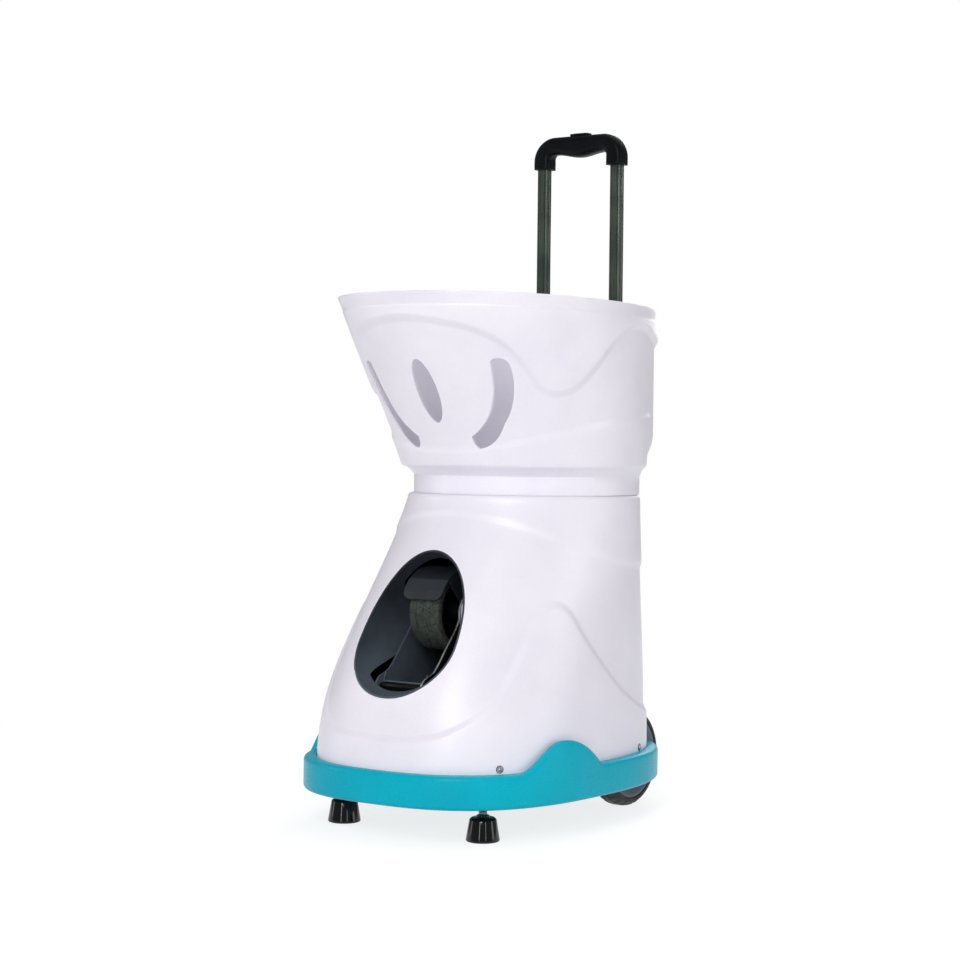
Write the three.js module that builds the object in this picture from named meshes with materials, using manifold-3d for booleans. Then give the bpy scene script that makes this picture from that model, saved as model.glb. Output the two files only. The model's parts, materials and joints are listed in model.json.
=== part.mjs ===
import * as THREE from 'three';
import { mergeVertices } from 'three/addons/utils/BufferGeometryUtils.js';
import Module from 'manifold-3d';

// A wheeled court machine: a slotted hopper feeds a turning carousel, a chute drops the load
// between two spinning wheels, and the wheels throw it out of an oval mouth in the front.
// Millimetres, +Z up, front towards -Y, origin on the ground under the middle of the footprint.
const wasm = await Module();
wasm.setup();

// Gaps and cutting tools
const seatGap = 0.3;
const slideGap = 0.5;
const runGap = 2;
const overrun = 5;
const weldGap = 1e-4;

// Moulded housing: plan sizes at the seam between body and hopper, at the foot and at the rim
const seamHeight = 466;
const seamCentreY = 91;
const seamHalfWidth = 166;
const seamFrontLength = 168;
const seamRearY = 257;
const footHeight = 58.3;
const footHalfWidth = 194;
const footFrontLength = 252;
const footCentreY = -7;
const footRearY = 241;
const shellWall = 4;
const bodyFlareHeight = 365;
const shoulderShare = 0.05;
const shoulderRound = 7;
const spineHalfWidth = 88;
const spineRearY = 262;
const spineCorner = 18;
const spineBottom = 99;
const footFrontSquareShare = 0.275;
const footRearSquareShare = 0.36;

// Relief of the housing: proud panels above and below a sunk band
const panelStep = 4.5;
const ridgeStep = 3;
const stepRun = 4;
const bodyWaveLow = 138;
const bodyWaveRise = 179;
const bodyRidgeFront = 440;
const bodyRidgeFall = 80;
const hopperWaveLow = 609.5;
const hopperWaveRise = 101.5;
const hopperRidgeFront = 529;
const hopperRidgeRise = 56;

// Hopper
const neckHalfWidth = 168;
const neckRearY = 260;
const neckTop = 506;
const neckFoot = 12;
const rimHeight = 742;
const rimFall = 0.019;
const rimHalfWidth = 207;
const rimHalfLength = 255;
const rimRearY = 275;
const rimSquareShare = 0.11;
const rimBand = 17;
const rimBandStep = 3;
const hopperWall = 4;
const hopperFloorTop = 496;
const hopperFloorDrop = 22;
const hopperMouthRadius = 117;
const dishInset = 8;
const channelHalfWidth = 92;
const channelFrontY = 202;
const channelCorner = 16;
const cheekWidth = 11;
const cheekRearY = 273;
const cheekBottom = 545;
const cheekTop = 700;
const cheekToe = 44;
const cheekRamp = 33;
const cheekChamfer = 22;
const slotReach = 56;
const lensTop = 656;
const lensBottom = 568;
const lensHalfWidth = 14;
const hornTop = 657;
const hornBottom = 532;
const hornWidth = 27;

// Mouth in the front of the body
const mouthWideHeight = 260;
const mouthHalfWidth = 85;
const mouthRise = 129;
const mouthDrop = 70;
const linerWall = 2.5;
const linerDepth = 20;
const linerTopDepth = 17;
const linerTaperShare = 0.93;
const linerInset = 2;
const linerCollarShare = 0.18;

// Base tray
const trayHalfWidth = 214;
const trayHalfLength = 268;
const traySquareness = 2.72;
const trayBottom = 50;
const trayFloorTop = 58;
const trayRimTop = 96;
const trayEdge = 5;
const ledgeGap = 1;
const humpHeight = 40;
const humpCentreY = -95;
const humpHalfLength = 78;
const humpWall = 12;

// Feet and road wheels
const footX = 122;
const footY = -176;
const cupRadius = 23.5;
const cupTopRadius = 18;
const cupHeight = 33;
const cupEdge = 1.2;
const cupShoulder = 2.75;
const studRadius = 6;
const studBossRadius = 15;
const studBossHeight = 14;
const wheelRadius = 73;
const wheelWidth = 36;
const wheelOuterX = 129;
const wheelY = 194;
const rimRadius = 53;
const rimDishRadius = 44;
const rimFlange = 5;
const hubRadius = 15;
const spokeCount = 6;
const spokeWidth = 11;
const spokeThickness = 9;
const axleRadius = 6;
const wellWall = 3;
const wellClearance = 6;

// Pull handle
const handleHalfSpan = 67;
const handleY = 226.5;
const outerTubeWidth = 26;
const outerTubeDepth = 22;
const middleTubeWidth = 22;
const middleTubeDepth = 18;
const innerTubeWidth = 18;
const innerTubeDepth = 14;
const tubeWall = 1.5;
const tubeCorner = 4;
const grooveWidth = 2.4;
const grooveDepth = 0.8;
const outerTubeBottom = 108;
const outerTubeTop = 474;
const middleTubeLength = 330;
const middleTubeTop = 736;
const innerTubeLength = 306;
const gripBottom = 965;
const gripHeight = 49;
const gripHalfWidth = 80;
const gripDepth = 28;
const gripCorner = 17;
const gripSocketDepth = 12;
const gripSocketWidth = 27;
const gripBarHeight = 27;
const gripBend = 12;
const collarHeight = 14;
const collarWall = 4;
const gripRound = 4;
const buttonWidth = 34;
const buttonDepth = 15;
const buttonHeight = 12;
const buttonRise = 4;
const buttonTravel = 3;
const bracketThickness = 4;
const bracketToe = 10;
const bracketLegHalf = 8.7;

// Feeder in the top of the body
const feedCentreY = 80;
const bowlRadius = 114;
const bowlWall = 3;
const bowlFloor = 428;
const bowlFloorWall = 4;
const bowlFlange = 5;
const bowlFlangeThickness = 3;
const pocketCount = 4;
const pocketRadius = 39;
const pocketPitch = 70;
const pocketMouthHalf = 30;
const carouselRadius = 112;
const carouselLift = 1.5;
const coneHeight = 18;
const coneTopRadius = 9;
const carouselHeight = 34;
const carouselHub = 27;
const feedMotorRadius = 24;
const feedMotorHeight = 52;
const feedShaftRadius = 5;

// Chute from the feeder to the throwing wheels
const chuteBore = 78;
const chuteWall = 2;
const chuteKneeHeight = 280;
const chuteKneeRun = 32;
const chuteEndY = -22;
const chuteEndHeight = 228;
const chuteRings = 6;
const chuteArcSteps = 7;

// Throwing head. The path between its wheels rises to the front.
const pathRiseDegrees = 25;
const pivotY = -70;
const pivotHeight = 192;
const pivotToNip = 75;
const throwGap = 62;
const throwRadius = 55;
const throwWidth = 52;
const throwTreadThickness = 9;
const throwHubBore = 5;
const throwSpokeWall = 8;
const treadCrown = 2.25;
const plateGapHalf = 38;
const plateThickness = 3;
const pivotPinRadius = 5;
const pivotHeadRadius = 8;
const troughDrop = 38;
const troughWall = 2.5;
const troughBack = 125;
const troughFront = 48;
const troughLip = 12;
const troughSlotHalf = 29;
const troughSlotLength = 76;
const hoodRadius = 63;
const hoodHalfWidth = 34;
const hoodEarRadius = 14;
const hoodEarStartDegrees = 78;
const hoodEarEndDegrees = 132;
const hoodWall = 2.5;
const hoodBossRadius = 5;
const hoodBossReach = 19;
const hoodBossDegrees = 88;
const hoodFrontDegrees = 162;
const hoodRearDegrees = 55;
const tieRodRadius = 4;
const throwMotorRadius = 26;
const throwMotorLength = 41;
const motorFlange = 3;

// Turning frame under the throwing head
const bearingRadius = 50;
const bearingWidth = 10;
const bearingHeight = 8;
const turntableThickness = 5;
const turntableRadius = 59;
const armInnerX = 54;
const armThickness = 5;
const armFootHalf = 20;
const armBoss = 15;
const yawGearTeeth = 48;
const gearModule = 2.5;
const yawGearThickness = 6;
const yawGearBore = 30;
const yawHalfTeeth = 3;
const pinionTeeth = 12;
const gearMotorRadius = 15;
const gearMotorHeight = 34;
const motorLegGap = 4;
const sectorTeeth = 48;
const sectorThickness = 4;
const sectorHalfDegrees = 24;
const sectorOffset = 6.6;
const sectorHubRadius = 12;
const pinionWidth = 6;
const gearShaftRadius = 3;
const gearBack = 0.15;
const gearRootShare = 1.25;
const gearFlankShare = 0.273;
const gearCrestShare = 0.132;

// Battery, electronics and rear panel
const batteryWidth = 130;
const batteryDepth = 76;
const batteryHeight = 84;
const batteryY = 146;
const batteryEdge = 4;
const boxWidth = 56;
const boxLength = 80;
const boxHeight = 42;
const boxX = -125;
const boxY = 50;
const panelWidth = 96;
const panelHeight = 62;
const panelThickness = 4;
const panelZ = 300;
const panelRecess = 7;
const panelCorner = 8;
const powerButtonRadius = 9;
const powerButtonProud = 3;
const powerButtonX = -24;
const socketRadius = 8;
const socketLength = 14;
const socketX = 22;
const capRadius = 12;
const capThickness = 3;
const capHingeRadius = 2.5;

// Mesh fineness
const frontColumns = 2;
const waveColumns = 9;
const backColumns = 5;
const waveStartDegrees = 27;
const waveEndDegrees = 92;
const roundSides = 18;
const smallSides = 10;
const cornerSteps = 1;
const softCornerSteps = 2;
const wheelSides = 24;
const wideSides = 28;
const mouthSides = 28;
const levelSteps = 3;
const plateCurveSteps = 2;
const slotCurveSteps = 3;
const armCurveSteps = 4;
const hoodCurveSteps = 6;
const gripCurveSteps = 3;

// Worked-out places
const waveTurn = Math.PI;
const pathRise = THREE.MathUtils.degToRad(pathRiseDegrees);
const nipToWheel = throwGap / 2 + throwRadius;
const nip = new THREE.Vector3(
  0,
  pivotY - pivotToNip * Math.cos(pathRise),
  pivotHeight + pivotToNip * Math.sin(pathRise),
);
const wheelX = wheelOuterX - wheelWidth / 2;
const deckThickness = shellWall;

// Shares of the half turn from front to back, and of the rise of the wave there
const bodyWaveShares = [
  [0, 0], [0.1, 0.03], [0.155, 0.12], [0.195, 0.25], [0.228, 0.44], [0.255, 0.7], [0.283, 0.94], [0.32, 1],
  [0.36, 0.93], [0.414, 0.745], [0.494, 0.525], [0.61, 0.26], [0.71, 0.115], [0.86, 0.04], [1, 0.03],
];
const hopperWaveShares = [
  [0, 1], [0.08, 0.94], [0.14, 0.83], [0.19, 0.645], [0.226, 0.36], [0.25, 0.095], [0.29, 0],
  [0.34, 0.085], [0.393, 0.34], [0.452, 0.655], [0.515, 0.89], [0.6, 1.01], [0.72, 1.05], [1, 1.05],
];
// Horn slot: across in horn widths from the middle, up as a share of its height
const hornTipShares = [3.96, 1];
const hornArcShares = [
  [[4.55, 0.8], [4.38, 0.656]],
  [[4.1, 0.42], [3.57, 0.28]],
  [[2.9, 0.02], [2.03, 0]],
  [[1.72, 0.02], [1.75, 0.136]],
  [[2.7, 0.26], [3.15, 0.434]],
  [[3.45, 0.6], [3.53, 0.61]],
  [[3.72, 0.8], [3.78, 0.947]],
  [[3.84, 1], [3.96, 1]],
];
// Side plate outline and tie rods, as shares of the distance from the path to a wheel centre:
// forward along the path, and up from it
const plateShares = [
  [0.26, 1.08], [0.22, 0.7], [0.34, 0.2], [0.46, -0.2], [0.66, -0.44], [0.64, -0.64], [0.36, -0.86],
  [0.2, -1.2], [-0.02, -1.3], [-0.24, -1.18], [-0.44, -0.78], [-0.8, -0.46], [-1.06, -0.14], [-1.06, 0.12],
  [-0.8, 0.5], [-0.5, 0.8], [-0.24, 1.2], [0.02, 1.3],
];
const tieRodPlaceShares = [[-0.67, 0.52], [-0.67, -0.6], [0.56, -0.54]];
// How fast the ridges climb, and how the sections swell, as powers
const bodyRidgePowerShare = 2.4;
const hopperRidgePowerShare = 2.6;
const bodySwellPowerShare = 1.15;
const frontSwellPowerShare = 0.85;
const hopperSwellPowerShare = 1.1;
const sideSwellPowerShare = 0.7;
const rearSwellPowerShare = 0.5;
const neckSwellShare = 0.12;
const overRimShare = 1.1;

// Where the rings between two edges stand, as shares of the way up
const footRingShares = [0.55];
const bandRingShares = [1 / 3, 2 / 3];
const middleShare = 0.5;

const paints = {
  white: { color: '#eeebf6', roughness: 0.35, metalness: 0 },
  teal: { color: '#0fb9cc', roughness: 0.4, metalness: 0 },
  black: { color: '#141518', roughness: 0.5, metalness: 0 },
  rubber: { color: '#0b0c0e', roughness: 0.8, metalness: 0 },
  foam: { color: '#3f4743', roughness: 0.9, metalness: 0 },
  greyBlue: { color: '#5d6475', roughness: 0.45, metalness: 0 },
  anodised: { color: '#2f3337', roughness: 0.35, metalness: 0.8 },
  steel: { color: '#9a9d9c', roughness: 0.35, metalness: 1 },
  liner: { color: '#23272e', roughness: 0.5, metalness: 0 },
  gear: { color: '#d9d6cb', roughness: 0.55, metalness: 0 },
};

const group = new THREE.Group();

// Small helpers

function toSolid(geometry) {
  const bare = geometry.index ? geometry.toNonIndexed() : geometry.clone();
  bare.deleteAttribute('normal');
  bare.deleteAttribute('uv');
  const merged = mergeVertices(bare, weldGap);
  return new wasm.Manifold(new wasm.Mesh({
    numProp: 3,
    vertProperties: Float32Array.from(merged.attributes.position.array),
    triVerts: Uint32Array.from(merged.index.array),
  }));
}

function toGeometry(solid) {
  const mesh = solid.getMesh();
  const geometry = new THREE.BufferGeometry();
  geometry.setAttribute('position', new THREE.BufferAttribute(Float32Array.from(mesh.vertProperties), 3));
  geometry.setIndex(new THREE.BufferAttribute(Uint32Array.from(mesh.triVerts), 1));
  return geometry;
}

function cut(geometry, ...tools) {
  const solid = tools.reduce((left, tool) => left.subtract(toSolid(tool)), toSolid(geometry));
  return toGeometry(solid);
}

function join(geometry, ...others) {
  const solid = others.reduce((whole, other) => whole.add(toSolid(other)), toSolid(geometry));
  return toGeometry(solid);
}

function common(geometry, other) {
  return toGeometry(toSolid(geometry).intersect(toSolid(other)));
}

function add(name, paint, geometry) {
  const mesh = new THREE.Mesh(geometry, new THREE.MeshStandardMaterial(paints[paint]));
  mesh.name = name;
  group.add(mesh);
  return mesh;
}

// A block between two corners
function block(x0, x1, y0, y1, z0, z1) {
  const geometry = new THREE.BoxGeometry(x1 - x0, y1 - y0, z1 - z0);
  return geometry.translate((x0 + x1) / 2, (y0 + y1) / 2, (z0 + z1) / 2);
}

// A round bar along Z from z0 to z1
function post(radius, z0, z1, x = 0, y = 0, topRadius = radius, sides = roundSides) {
  const geometry = new THREE.CylinderGeometry(topRadius, radius, z1 - z0, sides);
  return geometry.rotateX(Math.PI / 2).translate(x, y, (z0 + z1) / 2);
}

// A round bar along X from x0 to x1
function bar(radius, x0, x1, y = 0, z = 0, sides = roundSides) {
  const geometry = new THREE.CylinderGeometry(radius, radius, x1 - x0, sides);
  return geometry.rotateZ(Math.PI / 2).translate((x0 + x1) / 2, y, z);
}

// A round bar along Y from y0 to y1
function rod(radius, y0, y1, x, z, sides = roundSides) {
  return new THREE.CylinderGeometry(radius, radius, y1 - y0, sides).translate(x, (y0 + y1) / 2, z);
}

// An outline of radius and height turned about Z, from axis to axis
function turned(outline, sides) {
  const points = outline.map(([radius, height]) => new THREE.Vector2(radius, height));
  return new THREE.LatheGeometry(points, sides).rotateX(Math.PI / 2);
}

// A closed outline of radius and height turned about Z into a ring
function turnedHoop(outline, sides) {
  return turned([...outline, outline[0]], sides);
}

// A flat outline thickened along Z
function slab(shape, z0, z1, curveSegments = cornerSteps) {
  const geometry = new THREE.ExtrudeGeometry(shape, { depth: z1 - z0, bevelEnabled: false, curveSegments });
  return geometry.translate(0, 0, z0);
}

// An outline drawn in the Y-Z plane, thickened along X
function sideSlab(shape, x0, x1, curveSegments = cornerSteps) {
  const geometry = slab(shape, 0, x1 - x0, curveSegments);
  const turnUp = new THREE.Matrix4().makeBasis(
    new THREE.Vector3(0, 1, 0), new THREE.Vector3(0, 0, 1), new THREE.Vector3(1, 0, 0),
  );
  return geometry.applyMatrix4(turnUp).translate(x0, 0, 0);
}

// An outline drawn in the X-Z plane, thickened along Y
function frontSlab(shape, y0, y1, curveSegments = cornerSteps) {
  return slab(shape, 0, y1 - y0, curveSegments).rotateX(Math.PI / 2).translate(0, y1, 0);
}

function roundedRectangle(width, height, radius, x = 0, y = 0) {
  const shape = new THREE.Shape();
  const right = width / 2 - radius;
  const top = height / 2 - radius;
  shape.absarc(x + right, y + top, radius, 0, Math.PI / 2);
  shape.absarc(x - right, y + top, radius, Math.PI / 2, Math.PI);
  shape.absarc(x - right, y - top, radius, Math.PI, Math.PI * 1.5);
  shape.absarc(x + right, y - top, radius, Math.PI * 1.5, Math.PI * 2);
  return shape;
}

// Closed rings of points, joined one to the next and closed by a fan at each end
function skin(rings) {
  const positions = [];
  const columns = rings[0].length;
  const triangle = (a, b, c) => positions.push(a.x, a.y, a.z, b.x, b.y, b.z, c.x, c.y, c.z);
  for (let row = 0; row + 1 < rings.length; row += 1) {
    for (let column = 0; column < columns; column += 1) {
      const next = (column + 1) % columns;
      const [low, high] = [rings[row], rings[row + 1]];
      triangle(low[column], low[next], high[next]);
      triangle(low[column], high[next], high[column]);
    }
  }
  const first = rings[0];
  const last = rings[rings.length - 1];
  const whole = (ring) => ring.reduce((sum, point) => sum.add(point), new THREE.Vector3());
  const [bottom, top] = [first, last].map((ring) => whole(ring).divideScalar(columns));
  for (let column = 0; column < columns; column += 1) {
    const next = (column + 1) % columns;
    triangle(bottom, first[next], first[column]);
    triangle(top, last[column], last[next]);
  }
  const geometry = new THREE.BufferGeometry();
  geometry.setAttribute('position', new THREE.BufferAttribute(Float32Array.from(positions), 3));
  return geometry;
}

// Rings that close on themselves, such as a liner or a lip
function hoop(rings) {
  const positions = [];
  const columns = rings[0].length;
  const triangle = (a, b, c) => positions.push(a.x, a.y, a.z, b.x, b.y, b.z, c.x, c.y, c.z);
  for (let row = 0; row < rings.length; row += 1) {
    const low = rings[row];
    const high = rings[(row + 1) % rings.length];
    for (let column = 0; column < columns; column += 1) {
      const next = (column + 1) % columns;
      triangle(low[column], low[next], high[next]);
      triangle(low[column], high[next], high[column]);
    }
  }
  const geometry = new THREE.BufferGeometry();
  geometry.setAttribute('position', new THREE.BufferAttribute(Float32Array.from(positions), 3));
  return geometry;
}

// Smooth value between the shares of a table, flat at its ends
function shareAt(table, place) {
  const last = table.length - 1;
  const index = Math.min(Math.max(table.findIndex(([start]) => start > place) - 1, 0), last - 1);
  const [x0, y0] = table[index];
  const [x1, y1] = table[index + 1];
  const slope = (k) => {
    if (k <= 0 || k >= last) return 0;
    return (table[k + 1][1] - table[k - 1][1]) / (table[k + 1][0] - table[k - 1][0]);
  };
  const width = x1 - x0;
  const t = Math.min(Math.max((place - x0) / width, 0), 1);
  const ease = t * t * (3 - 2 * t);
  const enter = slope(index) * width * t * (1 - t) * (1 - t);
  const leave = slope(index + 1) * width * t * t * (1 - t);
  return place >= 1 ? table[last][1] : y0 + (y1 - y0) * ease + enter - leave;
}

const lerp = THREE.MathUtils.lerp;
const clamp = THREE.MathUtils.clamp;

// Plan sections of the housing. Angles run from the front, positive to the +X side.

function columnAngles() {
  const [start, end] = [waveStartDegrees, waveEndDegrees].map(THREE.MathUtils.degToRad);
  const marks = [0, start, end, Math.PI];
  const counts = [frontColumns, waveColumns, backColumns];
  const half = [];
  counts.forEach((count, part) => {
    for (let step = 0; step < count; step += 1) {
      half.push(lerp(marks[part], marks[part + 1], step / count));
    }
  });
  const other = half.slice(1).map((angle) => -angle).reverse();
  return [...half, Math.PI, ...other];
}
const columns = columnAngles();
const waveEnd = THREE.MathUtils.degToRad(waveEndDegrees);
const innerColumns = columns.filter((angle, index) => index % 2 === 0 || Math.abs(angle) > waveEnd);

function sectionPoint(section, angle, z, proud = 0) {
  const across = Math.abs(Math.sin(angle));
  const along = Math.abs(Math.cos(angle));
  const front = Math.cos(angle) > 0;
  const length = (front ? section.front : section.rear) + proud;
  const power = front ? section.frontPower : section.rearPower;
  const reach = ((across / (section.side + proud)) ** power + (along / length) ** power) ** (-1 / power);
  return new THREE.Vector3(reach * Math.sin(angle), section.centreY - reach * Math.cos(angle), z);
}

function bodySection(z) {
  const down = clamp((seamHeight - shoulderRound - z) / bodyFlareHeight, 0, 1);
  const swell = shoulderShare + (1 - shoulderShare) * Math.sin((Math.PI / 2) * down ** bodySwellPowerShare);
  const centreY = lerp(seamCentreY, footCentreY, swell);
  return {
    side: lerp(seamHalfWidth, footHalfWidth, swell),
    front: lerp(seamFrontLength, footFrontLength, swell ** frontSwellPowerShare),
    rear: lerp(seamRearY, footRearY, swell) - centreY,
    centreY,
    frontPower: 2 + 2 * footFrontSquareShare * swell * swell,
    rearPower: 2 + 2 * footRearSquareShare * swell,
  };
}

function hopperSection(z) {
  const up = clamp((z - neckTop) / (rimHeight - neckTop), 0, overRimShare);
  const above = z > neckTop;
  const swell = above ? neckSwellShare + (1 - neckSwellShare) * up ** hopperSwellPowerShare : 0;
  const centreY = lerp(neckRearY - neckHalfWidth, rimRearY - rimHalfLength, swell);
  return {
    side: lerp(neckHalfWidth, rimHalfWidth, swell ** sideSwellPowerShare),
    front: lerp(neckHalfWidth, rimHalfLength, swell),
    rear: lerp(neckRearY, rimRearY, swell ** rearSwellPowerShare) - centreY,
    centreY,
    frontPower: 2 + 2 * rimSquareShare * swell,
    rearPower: 2 + 2 * rimSquareShare * swell,
  };
}

function bodyWave(angle) {
  return bodyWaveLow + bodyWaveRise * shareAt(bodyWaveShares, Math.abs(angle) / waveTurn);
}

function hopperWave(angle) {
  return hopperWaveLow + hopperWaveRise * shareAt(hopperWaveShares, Math.abs(angle) / waveTurn);
}

// Share of the way from front to back of a point at this angle
function backShare(angle) {
  return (1 - Math.cos(angle)) / 2;
}

function bodyRidge(angle) {
  return bodyRidgeFront - bodyRidgeFall * (1 - (1 - backShare(angle)) ** bodyRidgePowerShare);
}

function hopperRidge(angle) {
  return hopperRidgeFront + hopperRidgeRise * (1 - (1 - backShare(angle)) ** hopperRidgePowerShare);
}

// One ring whose height and proudness follow the angle
function bodyRing(heightAt, proud, angles = columns) {
  return angles.map((angle) => sectionPoint(bodySection(heightAt(angle)), angle, heightAt(angle), proud));
}

function hopperRing(heightAt, proud, angles = columns) {
  return angles.map((angle) => sectionPoint(hopperSection(heightAt(angle)), angle, heightAt(angle), proud));
}

// The rim is not level: it falls a little towards the back
function rimTopAt(y) {
  return rimHeight - rimFall * (y - (rimRearY - rimHalfLength));
}

function between(lowAt, highAt, share) {
  return (angle) => lerp(lowAt(angle), highAt(angle), share);
}

// Front face of the body at a place across and up
function bodyFrontY(x, z) {
  const section = bodySection(z);
  const across = Math.min(Math.abs(x) / section.side, 1);
  return section.centreY - section.front * (1 - across ** section.frontPower) ** (1 / section.frontPower);
}

// Egg outline of the mouth, drawn in X and Z
function mouthPoint(angle, share = 1, shrink = 0) {
  const side = mouthHalfWidth * share - shrink;
  const tall = (Math.sin(angle) > 0 ? mouthRise : mouthDrop) * share - shrink;
  return new THREE.Vector2(side * Math.cos(angle), mouthWideHeight + tall * Math.sin(angle));
}

function mouthShape() {
  const points = Array.from({ length: mouthSides }, (_, k) => mouthPoint(((2 * k) / mouthSides) * Math.PI));
  return new THREE.Shape(points);
}

// Base tray with its ledge, two raised humps, wheel wells and stud bosses

function trayPoint(angle, z, inset) {
  const section = {
    side: trayHalfWidth - inset,
    front: trayHalfLength - inset,
    rear: trayHalfLength - inset,
    centreY: footCentreY,
    frontPower: traySquareness,
    rearPower: traySquareness,
  };
  return sectionPoint(section, angle, z);
}

function humpAt(angle) {
  const point = trayPoint(angle, 0, 0);
  const away = Math.min(Math.abs(point.y - humpCentreY) / humpHalfLength, 1);
  return (humpHeight / 2) * (1 + Math.cos(Math.PI * away));
}

const wellTop = 2 * wheelRadius + wellClearance;
const wellFront = wheelY - wheelRadius - wellClearance;

// The space a road wheel stands in, open below and behind
function wellBlock(side, grow, bottom) {
  const inner = wheelX - wheelWidth / 2 - wellClearance - grow;
  const outer = wheelX + wheelWidth / 2 + wellClearance + grow;
  const back = trayHalfLength + footCentreY + overrun;
  const [left, right] = side > 0 ? [inner, outer] : [-outer, -inner];
  return block(left, right, wellFront - grow, back, bottom, wellTop + grow);
}

function trayBody() {
  const ring = (heightAt, inset) => columns.map((angle) => trayPoint(angle, heightAt(angle), inset));
  const topAt = (drop) => (angle) => trayRimTop - drop + humpAt(angle);
  const soft = trayEdge * (1 - Math.SQRT1_2);
  const outside = skin([
    ring(() => trayBottom, trayEdge),
    ring(() => trayBottom + trayEdge, 0),
    ring(topAt(trayEdge), 0),
    ring(topAt(soft), soft),
    ring(topAt(0), trayEdge),
  ]);
  const sky = trayRimTop + humpHeight + overrun;
  const foot = bodySection(footHeight);
  const shellRing = (z) => columns.map((angle) => sectionPoint(foot, angle, z, panelStep + ledgeGap));
  const pocket = skin([shellRing(trayFloorTop), shellRing(sky)]);
  const behindHumps = skin([ring(() => trayRimTop, humpWall), ring(() => sky, humpWall)]);
  return cut(outside, pocket, behindHumps);
}

function baseTray() {
  const inside = skin([
    bodyRing(() => trayFloorTop - shellWall, -shellWall - runGap),
    bodyRing(() => wellTop + wellClearance, -shellWall - runGap),
  ]);
  const sides = [1, -1];
  const wallBottom = trayFloorTop - shellWall;
  const wellWalls = sides.map((side) => common(wellBlock(side, wellWall, wallBottom), inside));
  const wellCuts = sides.map((side) => wellBlock(side, 0, trayBottom - overrun));
  const bossTop = trayFloorTop + studBossHeight;
  const bosses = sides.map((side) => post(studBossRadius, wallBottom, bossTop, side * footX, footY));
  const hole = studRadius + seatGap;
  const studHoles = sides.map((side) => (
    post(hole, trayBottom - overrun, bossTop + overrun, side * footX, footY)));
  const axleHole = bar(axleRadius + seatGap, -wheelX, wheelX, wheelY, wheelRadius, smallSides);
  const tray = join(trayBody(), ...wellWalls, ...bosses);
  add('base_tray', 'teal', cut(tray, ...wellCuts, ...studHoles, axleHole));
}

// Screw-in feet: a rubber cup on a threaded stud
function levellingFeet() {
  const studTop = trayFloorTop + studBossHeight - runGap;
  [['left', 1], ['right', -1]].forEach(([name, side]) => {
    const outline = [
      [0, 0], [cupRadius - cupEdge, 0], [cupRadius, cupEdge], [cupTopRadius, cupHeight - cupShoulder],
      [cupTopRadius - cupShoulder, cupHeight], [studRadius, cupHeight], [studRadius, studTop], [0, studTop],
    ];
    add(`levelling_foot_${name}`, 'rubber', turned(outline, roundSides).translate(side * footX, footY, 0));
  });
}

// Axle, spoked wheels and their tyres
function roadWheels() {
  const edge = rimFlange / 2;
  const halfRim = wheelWidth / 2 - edge;
  const halfTyre = wheelWidth / 2;
  const halfAxle = wheelOuterX - rimFlange;
  add('wheel_axle', 'steel', bar(axleRadius, -halfAxle, halfAxle, wheelY, wheelRadius, smallSides));
  [['left', 1], ['right', -1]].forEach(([name, side]) => {
    const place = (geometry) => (
      geometry.rotateY((side * Math.PI) / 2).translate(side * wheelX, wheelY, wheelRadius));
    const barrel = turnedHoop([
      [rimDishRadius, -halfRim], [rimRadius + edge, -halfRim], [rimRadius, -halfRim + rimFlange],
      [rimRadius, halfRim - rimFlange], [rimRadius + edge, halfRim], [rimDishRadius, halfRim],
    ], wheelSides);
    const hub = post(hubRadius, -halfRim, halfRim + edge, 0, 0, hubRadius - edge);
    const spokeFace = halfRim - edge;
    const spokeSides = [-spokeWidth / 2, spokeWidth / 2];
    const spoke = (turn) => (
      block(0, rimDishRadius + edge, ...spokeSides, spokeFace - spokeThickness, spokeFace).rotateZ(turn));
    const spokes = Array.from({ length: spokeCount }, (_, k) => spoke((k / spokeCount) * Math.PI * 2));
    const web = post(rimDishRadius + edge, -edge, edge);
    const bore = post(axleRadius + seatGap, -wheelWidth, halfAxle - wheelX + seatGap);
    add(`road_wheel_rim_${name}`, 'greyBlue', place(cut(join(barrel, hub, web, ...spokes), bore)));
    const inner = rimRadius + seatGap;
    const tyre = turnedHoop([
      [inner, -halfRim + rimFlange + edge], [rimRadius + edge + 2 * seatGap, -halfRim],
      [rimRadius + 2 * rimFlange, -halfTyre], [wheelRadius - rimFlange, -halfTyre + edge],
      [wheelRadius, -halfTyre + 2 * rimFlange], [wheelRadius, halfTyre - 2 * rimFlange],
      [wheelRadius - rimFlange, halfTyre - edge], [rimRadius + 2 * rimFlange, halfTyre],
      [rimRadius + edge + 2 * seatGap, halfRim], [inner, halfRim - rimFlange - edge],
    ], wheelSides);
    add(`tyre_${name}`, 'rubber', place(tyre));
  });
}

// Body shell with its shoulder, deck, spine, mouth, wheel arches and rear recess

function bodyRings() {
  const wave = (drop) => (angle) => bodyWave(angle) - drop;
  const ridge = (lift) => (angle) => bodyRidge(angle) + lift;
  const flat = (z) => () => z;
  const shoulder = seamHeight - shoulderRound;
  return [
    bodyRing(flat(footHeight), panelStep),
    ...footRingShares.map((share) => bodyRing(between(flat(footHeight), wave(stepRun), share), panelStep)),
    bodyRing(wave(stepRun), panelStep),
    bodyRing(wave(-stepRun), 0),
    ...bandRingShares.map((share) => bodyRing(between(wave(-stepRun), ridge(-stepRun), share), 0)),
    bodyRing(ridge(-stepRun), 0),
    bodyRing(ridge(0), ridgeStep),
    bodyRing(between(ridge(0), flat(shoulder), middleShare), ridgeStep),
    bodyRing(flat(shoulder), ridgeStep),
    bodyRing(flat(seamHeight - shoulderRound * (1 - Math.SQRT1_2)), 0),
    bodyRing(flat(seamHeight), -ridgeStep),
  ];
}

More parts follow.
